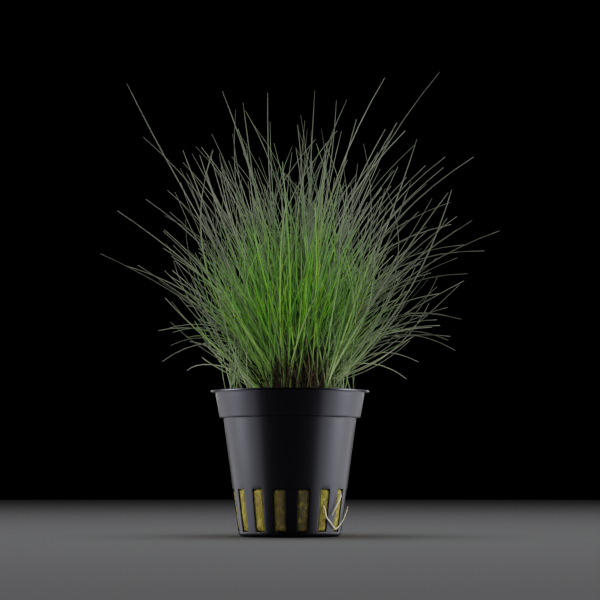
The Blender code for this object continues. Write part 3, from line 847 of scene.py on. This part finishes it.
class HAIRGRASS_OT_crown(bpy.types.Operator):
    """Builds the mat of rhizomes and lays its old roots"""
    bl_idname = "hairgrass.crown"
    bl_label = "Root crown"

    def execute(self, context):
        settings = context.scene.hairgrass.crown
        top, foot = CROWN_TOP, CROWN_FOOT
        rows = [(1.5 * MM, top), (4 * MM, top), (7 * MM, top), (10 * MM, top), (13 * MM, top), (15.5 * MM, top)]
        rows += [(17.2 * MM, top - 0.3 * MM), (18.0 * MM, top - 1.0 * MM), (18.3 * MM, foot + 0.5 * MM)]
        rows += [(17.6 * MM, foot), (8 * MM, foot), (0.0, foot)]
        mat = draw_round("root_mat", rows, 96)
        bpy.ops.object.mode_set(mode="EDIT")
        bpy.ops.mesh.select_all(action="SELECT")
        bpy.ops.mesh.fill_holes(sides=0)
        bpy.ops.mesh.subdivide(number_cuts=1)
        bpy.ops.mesh.normals_make_consistent(inside=False)
        bpy.ops.object.mode_set(mode="OBJECT")
        for vert in mat.data.vertices:
            if vert.co.z < foot + 0.2 * MM:
                continue
            lumps = noise.fractal(vert.co * 420, 0.9, 2.0, 4)
            vert.co.z += min(lumps * 0.9 * MM, 0.45 * MM) - 0.25 * MM
            reach = 1.0 + 0.05 * noise.noise(vert.co * 260)
            vert.co.x *= min(reach, 1.0)
            vert.co.y *= min(reach, 1.0)
        bpy.ops.object.shade_smooth()
        material = finish_old_root(settings)
        settle(mat, material, "old_roots", "root_crown")
        rod = make_rod(5, 7)
        roots = Bundle()
        draws = random.Random(19)
        for _ in range(settings.strands):
            self.lay_root(roots, rod, settings, draws)
        for _ in range(settings.dead_stems):
            self.lay_dead_stem(roots, rod, settings, draws)
        piece = roots.finish("crown_roots")
        settle(piece, material, "old_roots")
        return {"FINISHED"}

    def lay_root(self, roots, rod, settings, draws):
        """A root that winds over the mat and dips back into it."""
        reach = CROWN_RADIUS * math.sqrt(draws.random())
        middle = round_spot(draws.uniform(0, 360), reach, CROWN_TOP - 0.25 * MM)
        facing = draws.uniform(0, math.tau)
        length = draws.uniform(4, 13) * MM
        curl = draws.uniform(-2.4, 2.4) * MM
        lift = draws.uniform(0.2, 1.1) * MM
        ahead = Vector((math.cos(facing), math.sin(facing), 0.0))
        beside = Vector((-ahead.y, ahead.x, 0.0))

        def path(along):
            arch = math.sin(math.pi * along)
            spot = middle + ahead * (along - 0.5) * length + beside * curl * math.sin(math.tau * along * 0.8)
            out = spot.xy.length
            if out > 20 * MM:
                spot.x *= 20 * MM / out
                spot.y *= 20 * MM / out
            edge = max(0.0, min(out, 20 * MM) - 16.5 * MM)
            spot.z += lift * arch - edge * 0.55
            return spot

        thick = settings.strand_radius * draws.uniform(0.55, 1.5)
        roots.lay(rod, path, lambda along: thick * (1.0 - 0.5 * along), tone=draws.random())


    def lay_dead_stem(self, roots, rod, settings, draws):
        """A thin brown stem or root that stands up from the patch at the front."""
        angle = draws.uniform(0, math.tau)
        reach = PATCH_RADIUS * math.sqrt(draws.random())
        foot = PATCH + Vector((math.cos(angle) * reach, math.sin(angle) * reach * 0.8, CROWN_TOP - 0.5 * MM))
        lean = Vector((draws.gauss(0, 0.35), draws.gauss(-0.05, 0.30), 1.0)).normalized()
        height = draws.triangular(6, 25, 15) * MM
        kink = Vector((draws.gauss(0, 0.9), draws.gauss(0, 0.9), 0.0)) * MM

        def path(along):
            return foot + lean * height * along + kink * math.sin(math.pi * 1.3 * along)

        thick = settings.strand_radius * draws.uniform(0.4, 1.3)
        roots.lay(rod, path, lambda along: thick * (1.0 - 0.6 * along), tone=draws.random())


class Culm:
    """One culm: its leader's bowed line up to a share of its length, and an offset that widens with height."""

    def __init__(self, foot, tip, bow, turned, share=1.0, spread=0.0, leader_turned=None, swerve=0.0):
        self.rings = max(2, round((LEADER_RINGS if abs(bow) > SLIGHT_BOW else LEADER_RINGS - 1) * share))
        self.foot = foot
        self.chord = tip - foot
        direction = self.chord.normalized()
        rise = Vector((0, 0, 1)) - direction * direction.z
        self.bow = rise.normalized() * bow
        if swerve:
            self.bow += rise.cross(direction).normalized() * swerve
        self.turned = turned
        self.share = share
        self.spread = spread
        self.leader_turned = turned if leader_turned is None else leader_turned
        self.seat = SHEATH_SHARE

    def middle_line(self, along):
        return self.foot + self.chord * along + self.bow * (4 * along * (1 - along))

    def frame(self, along):
        """The turn from +Z to the leader's direction at a share of its length."""
        tangent = self.chord + self.bow * (4 * (1 - 2 * along))
        return Vector((0, 0, 1)).rotation_difference(tangent)

    def spoke(self, angle):
        return Vector((math.cos(angle), math.sin(angle), 0.0))

    def at(self, along):
        """The culm's middle at a share of its own length."""
        reach = along * self.share
        offset = self.spoke(self.turned) * SHEATH_RADIUS * self.seat
        apart = self.spoke(self.turned) - self.spoke(self.leader_turned)
        return self.middle_line(reach) + self.frame(reach) @ (offset + apart * self.spread * along)

    def direction(self, along):
        step = 0.01
        return self.at(min(along + step, 1.0)) - self.at(max(along - step, 0.0))

    def radius(self, along):
        return CULM_FOOT_RADIUS + (CULM_TIP_RADIUS - CULM_FOOT_RADIUS) * along

    def ring_shares(self):
        """Where the rings of its faceted tube stand, as shares of its length."""
        return [FIRST_RING + (1.0 - FIRST_RING) * ring / self.rings for ring in range(self.rings + 1)]


def culm_skin(culm, extra):
    """The culm's faceted tube, fatter by the wanted clearance, for the overlap test."""
    corners, faces = [], []
    shares = [0.0] + culm.ring_shares()
    for ring, along in enumerate(shares):
        turned = Vector((0, 0, 1)).rotation_difference(culm.direction(along))
        reach = SHEATH_RADIUS * SHEATH_SHARE if ring == 0 else culm.radius(along)
        for side in range(3):
            spoke = culm.spoke(culm.turned + math.pi + side * math.tau / 3)
            corners.append(culm.at(along) + turned @ spoke * (reach + extra))
    for ring in range(len(shares) - 1):
        for side in range(3):
            low = 3 * ring + side
            beside = 3 * ring + (side + 1) % 3
            faces.append((low, beside, beside + 3, low + 3))
    last = len(corners) - 3
    faces.append((last, last + 1, last + 2))
    return BVHTree.FromPolygons(corners, faces)


def tip_at_depth(across, height, deep):
    """A tip seen at this place in the plane of the pot's axis, moved along the line of sight."""
    seen = Vector((across * MM, 0.0, height * MM))
    return EYE + (seen - EYE) * (deep - EYE.y) / -EYE.y


def polar(reach, angle, height):
    return Vector((reach * math.cos(angle), reach * math.sin(angle), height))


def tuft_spots(count):
    """Tops of the sheaths: on the crown's spiral, and a few farther out, straight on the wool."""
    on_crown = count - len(OUTER_SPOTS)
    spots = []
    for number in range(on_crown):
        reach = SPIRAL_REACH * math.sqrt((number + 0.5) / on_crown)
        spots.append(polar(reach, GOLDEN_ANGLE * number, CROWN_TOP + GAP + SHEATH_HEIGHT))
    for degrees in OUTER_SPOTS:
        spots.append(polar(OUTER_REACH, math.radians(degrees), PLUG_TOP + GAP + SHEATH_HEIGHT))
    return spots


def rim_skin():
    """The pot's rim as a plain ring, which the low culms have to pass over."""
    inside, outside = BAND_TOP_RADIUS - WALL - GAP, RIM_RADIUS + GAP
    bottom, top = POT_HEIGHT - 2 * MM, POT_HEIGHT + GAP
    section = ((inside, bottom), (inside, top), (outside, top), (outside, bottom))
    corners, faces = [], []
    for step in range(RIM_STEPS):
        for reach, height in section:
            corners.append(polar(reach, math.tau * step / RIM_STEPS, height))
    for step in range(RIM_STEPS):
        for side in range(4):
            here, there = 4 * step, 4 * ((step + 1) % RIM_STEPS)
            across = (side + 1) % 4
            faces.append((here + side, here + across, there + across, there + side))
    return BVHTree.FromPolygons(corners, faces)


def wanted_tufts():
    """(foot, tip, bow) wishes for each tuft: the inner ones, then the others, the farthest-reaching first."""
    depths = random.Random(TUFT_SEED)
    wishes = []
    for number, (foot, across, height, bow) in enumerate(LEADERS):
        room = math.sqrt(max(TUFT_REACH ** 2 - (across * MM) ** 2, LEAST_DEPTH ** 2))
        if height * MM < LOW_TIP:
            room = min(room, LOW_DEPTH)
        elif height * MM > HIGH_TIP:
            room = min(room, HIGH_DEPTH)
        side = 1 if number % 2 else -1
        deep = side * room * depths.uniform(*DEPTH_SHARE)
        tip = tip_at_depth(across, height, deep)
        wishes.append((Vector((foot * MM, deep * FOOT_SHARE, 0.0)), tip, bow * MM))
    wishes.sort(key=lambda wish: -Vector((wish[1].x, wish[1].y)).length)
    inner = []
    for across, deep, height, bow in INNER:
        tip = Vector((across * MM, deep * MM, height * MM))
        inner.append((Vector((tip.x * FOOT_SHARE, tip.y * FOOT_SHARE, 0.0)), tip, bow * MM))
    return inner + wishes


def touches(skin, skins):
    return any(skin.overlap(other) for other in skins)


def grow_leader(foot, tip, bow, spots, skins, draws):
    """The tuft's longest culm. Where it would touch another, its foot, depth and tip are drawn again, further off."""
    for attempt in range(MOST_TRIES):
        nearest = sorted(spots, key=lambda free: (free.xy - foot.xy).length)
        low = draws.choice(nearest[:1 + attempt // 10])
        wander = LEADER_WANDER * attempt / MOST_TRIES
        shift = Vector((draws.uniform(-wander, wander), 0.0, draws.uniform(-wander, wander)))
        shift.y = draws.uniform(-wander, wander) * DEPTH_WANDER
        end = tip + shift
        turned = math.atan2(end.y - low.y, end.x - low.x)
        culm = Culm(low, end, bow, turned)
        if not touches(culm_skin(culm, GAP), skins):
            break
    spots.remove(low)
    return culm


def grow_follower(leader, bow, number, skins, draws):
    """A shorter culm beside the leader, or None. Where it would touch another, it is drawn again, shorter."""
    turned = leader.turned + number * math.tau / CULMS_PER_TUFT
    for attempt in range(MOST_TRIES):
        patience = 1.0 - attempt / MOST_TRIES
        share = draws.uniform(*FOLLOWER_SHARE) * (0.3 + 0.7 * patience)
        spread = draws.uniform(*SPREAD)
        tip = leader.foot + leader.chord
        culm = Culm(leader.foot, tip, bow, turned, share, spread, leader.turned)
        if not touches(culm_skin(culm, GAP), skins):
            return culm
    return None


def grow_tufts():
    """The culms of every tuft, each clear of all the earlier tufts."""
    draws = random.Random(TUFT_SEED + 1)
    wishes = wanted_tufts()
    spots = tuft_spots(len(wishes))
    grown, skins = [], [rim_skin()]
    for foot, tip, bow in wishes:
        leader = grow_leader(foot, tip, bow, spots, skins, draws)
        followers = [grow_follower(leader, bow, number, skins, draws) for number in range(1, CULMS_PER_TUFT)]
        tuft = [leader] + [culm for culm in followers if culm]
        skins.extend(culm_skin(culm, 0.0) for culm in tuft)
        grown.append(tuft)
    return grown


def rooted(culm, sway, phase, gather=0.0):
    """The culm's line from the ground up, with a slight waver, its foot drawn in by a share of its reach."""
    ground = culm.at(0.0)
    ground.z -= SHEATH_HEIGHT + 0.5 * MM
    inward = (BASE - Vector((culm.foot.x, culm.foot.y, 0.0))) * gather
    length = culm.chord.length * culm.share
    buried = (SHEATH_HEIGHT + 0.5 * MM) / (length + SHEATH_HEIGHT)

    def path(along):
        if along < buried:
            return ground.lerp(culm.at(0.0), along / buried) + inward
        own = (along - buried) / (1.0 - buried)
        waver = sway * math.sin(math.pi * own) * math.sin(phase + 5.0 * own)
        drift = Vector((waver * math.cos(phase), waver * math.sin(phase), 0.0))
        return culm.at(own) + drift + inward * (1.0 - own) ** 1.5

    return path


def over_the_rim(culm, room):
    """Whether the culm stays within this radius until it is above the rim."""
    for step in range(CHECKED_POINTS + 1):
        spot = culm.at(step / CHECKED_POINTS)
        if spot.xy.length > room and spot.z < POT_HEIGHT + 1.5 * MM:
            return False
    return True


class HAIRGRASS_OT_tufts(bpy.types.Operator):
    """Grows every tuft of culms round its solid"""
    bl_idname = "hairgrass.tufts"
    bl_label = "Tufts"

    def execute(self, context):
        settings = context.scene.hairgrass.culm
        material = finish_culm(settings)
        rod = make_rod(6, 12)
        stub = make_rod(5, 5)
        draws = random.Random(404)
        tufts = grow_tufts()
        tips = [tuft[0].foot + tuft[0].chord for tuft in tufts]
        for number, tuft in enumerate(tufts, start=1):
            bundle = Bundle()
            outer = tuft[0].foot.xy.length > SPIRAL_REACH
            tip = tuft[0].foot + tuft[0].chord
            low = tip.z < 102 * MM
            crossing = settings.crossing
            if low and tip.x < -25 * MM:
                crossing = 0
            elif low and tip.x > 25 * MM:
                crossing = settings.crossing // 2
            for culm in tuft:
                radius = settings.radius * draws.uniform(0.85, 1.1)
                self.lay_culm(bundle, rod, culm, radius, draws, gather=settings.gather * (0.75 if outer else 1.0))
            for _ in range(crossing):
                culm = self.crossing_culm(tuft[0], tips, draws)
                self.lay_culm(bundle, rod, culm, settings.radius * draws.uniform(0.62, 0.9), draws)
            for _ in range(settings.middle):
                culm = self.middle_culm(tuft[0], draws)
                self.lay_culm(bundle, rod, culm, settings.radius * draws.uniform(0.55, 0.8), draws, greyer=0.2)
            for _ in range(settings.core):
                culm = self.core_culm(draws)
                self.lay_culm(bundle, rod, culm, settings.radius * draws.uniform(0.45, 0.75), draws)
            for _ in range(settings.edge if outer else 0):
                culm = self.edge_culm(tuft[0], draws)
                self.lay_culm(bundle, rod, culm, settings.radius * draws.uniform(0.55, 0.85), draws, greyer=0.6)
            by_patch = (tuft[0].foot.xy - PATCH.xy).length < 1.5 * PATCH_RADIUS
            for _ in range(settings.old if by_patch else 1):
                self.lay_old_stem(bundle, stub, tuft[0], settings, draws)
            for _ in range(settings.front if by_patch else 0):
                culm = self.front_culm(tuft[0], draws)
                self.lay_culm(bundle, rod, culm, settings.radius * draws.uniform(0.9, 1.3), draws, greyer=0.25)
            piece = bundle.finish(f"culms_{number:02d}")
            settle(piece, material, "culm", f"tuft_{number:02d}")
        return {"FINISHED"}

    def crossing_culm(self, leader, tips, draws):
        """A long thin culm that leans from anywhere on the crown across to where another one reaches."""
        tip = leader.foot + leader.chord
        near = sorted(tips, key=lambda other: (other - tip).length)[1:20]
        while True:
            goal = tip.lerp(draws.choice(near), draws.uniform(0.2, 1.0))
            foot = self.free_foot(leader.foot.z, draws)
            bow = leader.bow.length * draws.uniform(-0.8, 1.6) + draws.gauss(0.0, 5.0) * MM
            swerve = draws.gauss(0.0, 10.0) * MM
            culm = Culm(
                foot, goal, bow, draws.uniform(0, math.tau), share=draws.uniform(0.5, 0.96), swerve=swerve)
            if over_the_rim(culm, CROSSING_ROOM):
                return culm

    def free_foot(self, height, draws):
        """A place on the crown for a fine culm, off the brown patch."""
        while True:
            angle = draws.uniform(0, math.tau)
            foot = polar(FINE_REACH * math.sqrt(draws.random()), angle, height) + BASE * 0.6
            if (foot.xy - PATCH.xy).length > PATCH_RADIUS:
                return foot

    def middle_culm(self, leader, draws):
        """An upright thin culm that fills the tuft's middle up to its top."""
        foot = self.free_foot(leader.foot.z, draws)
        goal = polar(draws.uniform(4.0, 39.0) * MM, draws.uniform(0, math.tau), 0.0)
        goal.z = draws.triangular(78, 160, 118) * MM - goal.xy.length * 0.4
        swerve = draws.gauss(0.0, 7.0) * MM
        return Culm(foot, goal, draws.uniform(-11.0, 11.0) * MM, draws.uniform(0, math.tau), swerve=swerve)

    def core_culm(self, draws):
        """A short hair-fine culm that leans its own way."""
        foot = self.free_foot(CROWN_TOP + GAP + SHEATH_HEIGHT, draws)
        lean = Vector((foot.x, foot.y, 0.0)) / FINE_REACH * draws.uniform(-0.1, 0.6)
        lean += Vector((draws.gauss(0, 0.34), draws.gauss(0, 0.34), 0.0))
        length = draws.triangular(14, 68, 40) * MM
        goal = foot + (Vector((0, 0, 1)) + lean).normalized() * length
        swerve = draws.gauss(0.0, 2.0) * MM
        return Culm(foot, goal, draws.uniform(-2.0, 3.5) * MM, draws.uniform(0, math.tau), swerve=swerve)

    def edge_culm(self, leader, draws):
        """A nearly upright fine culm that stands by the pot's wall."""
        side = 1.0 if leader.foot.x > 0 else -1.0
        while True:
            angle = draws.uniform(-0.85, 0.85)
            reach = draws.uniform(0.84, 1.08) * OUTER_REACH
            foot = Vector((side * reach * math.cos(angle), reach * math.sin(angle), leader.foot.z))
            lean = Vector((side * draws.gauss(0.06, 0.18), draws.gauss(0.0, 0.18), 0.0))
            goal = foot + (Vector((0, 0, 1)) + lean).normalized() * draws.triangular(16, 60, 34) * MM
            swerve = draws.gauss(0.0, 2.0) * MM
            culm = Culm(foot, goal, draws.uniform(-2.5, 2.5) * MM, draws.uniform(0, math.tau), swerve=swerve)
            if over_the_rim(culm, EDGE_ROOM):
                return culm

    def front_culm(self, leader, draws):
        """A thicker culm that stands in front of the brown patch."""
        across = draws.uniform(-3.5, 14.0) * MM
        foot = Vector((across, -draws.uniform(12.0, 16.5) * MM, leader.foot.z))
        lean = Vector((draws.gauss(0.05, 0.22), draws.gauss(-0.1, 0.15), 0.0))
        goal = foot + (Vector((0, 0, 1)) + lean).normalized() * draws.triangular(24, 92, 52) * MM
        swerve = draws.gauss(0.0, 2.0) * MM
        return Culm(foot, goal, draws.uniform(-2.0, 3.0) * MM, draws.uniform(0, math.tau), swerve=swerve)

    def lay_culm(self, bundle, rod, culm, radius, draws, gather=0.0, greyer=0.0):
        path = rooted(culm, draws.uniform(0.0, 1.1) * MM, draws.uniform(0, math.tau), gather)
        tone = draws.random()
        tip = culm.at(1.0)
        grey = min(1.0, abs(tip.x) / (62 * MM)) ** 1.5 + draws.gauss(0.0, 0.28) + greyer

        def girth(along):
            return radius * (1.08 - 0.20 * along - 0.42 * along ** 8)

        bundle.lay(rod, path, girth, tone=tone, grey=min(max(grey, 0.0), 1.0))

    def lay_old_stem(self, bundle, stub, leader, settings, draws):
        """A short dead stem beside the living ones."""
        turned = draws.uniform(0, math.tau)
        away = Vector((math.cos(turned), math.sin(turned), 0.0))
        start = leader.foot + away * draws.uniform(0.6, 2.2) * MM
        start.z -= SHEATH_HEIGHT + 0.4 * MM
        reach = leader.foot.xy.length / SPIRAL_REACH
        lean = leader.frame(0.0) @ Vector((0, 0, 1)) + away * draws.uniform(0.0, 0.5)
        height = draws.uniform(5, 19 - 9 * min(reach, 1.0)) * MM
        kink = away * draws.uniform(-1.6, 1.6) * MM

        def path(along):
            return start + lean * height * along + kink * math.sin(math.pi * along)

        thick = settings.radius * draws.uniform(0.4, 1.1)
        bundle.lay(stub, path, lambda along: thick * (1.0 - 0.45 * along), tone=draws.random(), old=1.0)


def root_route(points, steps=6):
    """Points round the pot's wall, through a smooth curve on the given ones."""
    corners = []
    for degrees, height, standoff in points:
        reach = body_radius(height * MM) + standoff * MM
        corners.append(round_spot(degrees, reach, height * MM))
    corners = [corners[0] * 2 - corners[1]] + corners + [corners[-1] * 2 - corners[-2]]
    route = []
    for before, start, end, after in zip(corners, corners[1:], corners[2:], corners[3:]):
        for step in range(steps):
            t = step / steps
            route.append(0.5 * (
                2 * start + (end - before) * t
                + (2 * before - 5 * start + 4 * end - after) * t ** 2
                + (3 * start - before - 3 * end + after) * t ** 3
            ))
    return route + [corners[-2]]


class HAIRGRASS_OT_stray_roots(bpy.types.Operator):
    """Lays the two pale roots that have grown out of the slots"""
    bl_idname = "hairgrass.stray_roots"
    bl_label = "Stray roots"

    def execute(self, context):
        material = finish_live_root()
        for name, points, thin in (("long", LONG_ROOT, 0.45), ("short", SHORT_ROOT, 0.35)):
            route = root_route(points)
            rod = make_rod(8, len(route) - 1)
            bundle = Bundle()

            def path(along):
                place = along * (len(route) - 1)
                first = min(int(place), len(route) - 2)
                return route[first].lerp(route[first + 1], place - first)

            bundle.lay(rod, path, lambda along: 0.25 * MM * (1.0 - thin * along))
            piece = bundle.finish(f"stray_{name}")
            settle(piece, material, "pale_root", f"stray_root_{name}")
        return {"FINISHED"}


def add_soft_light(name, place, aim, width, height, power, spread=180, colour=(1.0, 1.0, 1.0)):
    bpy.ops.object.light_add(type="AREA", location=place)
    lamp = bpy.context.object
    lamp.name = name
    lamp.data.shape = "RECTANGLE"
    lamp.data.size = width
    lamp.data.size_y = height
    lamp.data.energy = power
    lamp.data.color = colour
    lamp.data.spread = math.radians(spread)
    lamp.rotation_euler = (Vector(aim) - Vector(place)).to_track_quat("-Z", "Y").to_euler()
    bpy.ops.object.select_all(action="DESELECT")


class HAIRGRASS_OT_stage(bpy.types.Operator):
    """Sets the floor, the soft lights and the camera"""
    bl_idname = "hairgrass.stage"
    bl_label = "Stage"

    def execute(self, context):
        settings = context.scene.hairgrass.stage
        self.lay_floor(settings)
        self.set_world()
        self.hang_lights(settings)
        self.set_camera()
        return {"FINISHED"}

    def lay_floor(self, settings):
        bpy.ops.mesh.primitive_circle_add(vertices=128, radius=1.5, fill_type="NGON", location=(0, 0, -0.0001))
        floor = bpy.context.object
        floor.name = "floor"
        floor.data.materials.append(finish_floor(settings))
        bpy.ops.object.select_all(action="DESELECT")

    def set_world(self):
        world = bpy.data.worlds.new("Studio")
        bpy.context.scene.world = world
        world.use_nodes = True
        world.node_tree.nodes["Background"].inputs["Color"].default_value = (0.0, 0.0, 0.0, 1.0)

    def hang_lights(self, settings):
        pot = ("pot", "wool", "wool_fibres", "stray_long", "stray_short")
        for side, name, gain in ((-1, "left", 1.0), (1, "right", 1.2)):
            add_soft_light(
                f"{name}_side", (side * 0.55, 0.03, 0.15), (0.0, 0.0, 0.11), 0.30, 0.26,
                settings.side_light * gain, spread=50, colour=(0.95, 0.95, 1.0))
            self.link_light(f"{name}_side", "EXCLUDE", ("floor",))
            add_soft_light(
                f"{name}_low", (side * 0.092, 0.020, 0.012), (0.0, 0.020, 0.012), 0.198, 0.076,
                settings.low_light * gain, spread=150, colour=(0.95, 0.94, 1.0))
            self.link_light(f"{name}_low", "INCLUDE", pot)
            self.let_through(f"{name}_low", "floor")
            add_soft_light(
                f"{name}_back", (side * 0.24, 0.60, 0.15), (0.0, 0.0, 0.06), 0.12, 0.22, settings.back_light,
                spread=30)
            self.link_light(f"{name}_back", "EXCLUDE", ("floor",))
        add_soft_light("front", (0.0, -0.90, 0.42), (0.0, 0.0, 0.12), 0.4, 0.2, settings.front_light, spread=22)
        self.link_light("front", "EXCLUDE", ("pot", "floor"))
        add_soft_light("floor_light", (0.0, 0.0, 0.9), (0.0, 0.0, 0.0), 0.7, 0.7, settings.floor_light)
        self.link_light("floor_light", "INCLUDE", ("floor",))

    def link_light(self, name, state, pieces):
        """Lets a light fall on these pieces alone, or on all but them."""
        lit = bpy.data.collections.new(name + "_link")
        for number, piece in enumerate(pieces):
            lit.objects.link(bpy.data.objects[piece])
            lit.collection_objects[number].light_linking.link_state = state
        bpy.data.objects[name].light_linking.receiver_collection = lit

    def let_through(self, name, piece):
        """Lets a light that reaches below a piece shine through it."""
        passed = bpy.data.collections.new(name + "_passed")
        passed.objects.link(bpy.data.objects[piece])
        passed.collection_objects[0].light_linking.link_state = "EXCLUDE"
        bpy.data.objects[name].light_linking.blocker_collection = passed

    def set_camera(self):
        bpy.ops.object.camera_add(location=EYE, rotation=(math.radians(90 + EYE_PITCH), 0, 0))
        eye = bpy.context.object
        eye.name = "photo_eye"
        eye.data.sensor_fit = "HORIZONTAL"
        eye.data.sensor_width = 36.0
        eye.data.lens = EYE_FOCAL
        eye.data.clip_start = 0.01
        bpy.context.scene.camera = eye
        bpy.ops.object.select_all(action="DESELECT")


class HAIRGRASS_PT_panel(bpy.types.Panel):
    """Lists the settings and the steps of the build"""
    bl_idname = "HAIRGRASS_PT_panel"
    bl_label = "Hairgrass"
    bl_space_type = "VIEW_3D"
    bl_region_type = "UI"
    bl_category = "Hairgrass"

    def draw(self, context):
        layout = self.layout
        settings = context.scene.hairgrass
        for group in ("pot", "wool", "crown", "culm", "stage"):
            box = layout.box()
            box.label(text=group.title())
            values = getattr(settings, group)
            for name in values.__annotations__:
                box.prop(values, name)
        for operator in STEPS:
            layout.operator(operator.bl_idname)


STEPS = (
    HAIRGRASS_OT_pot,
    HAIRGRASS_OT_wool,
    HAIRGRASS_OT_crown,
    HAIRGRASS_OT_tufts,
    HAIRGRASS_OT_stray_roots,
    HAIRGRASS_OT_stage,
)
CLASSES = (
    PotSettings, WoolSettings, CrownSettings, CulmSettings, StageSettings, HairgrassSettings,
    *STEPS, HAIRGRASS_PT_panel,
)


def register():
    for kind in CLASSES:
        bpy.utils.register_class(kind)
    bpy.types.Scene.hairgrass = PointerProperty(type=HairgrassSettings)


def unregister():
    del bpy.types.Scene.hairgrass
    for kind in reversed(CLASSES):
        bpy.utils.unregister_class(kind)


def main():
    register()
    for operator in STEPS:
        group, name = operator.bl_idname.split(".")
        getattr(getattr(bpy.ops, group), name)()


if __name__ == "__main__":
    main()
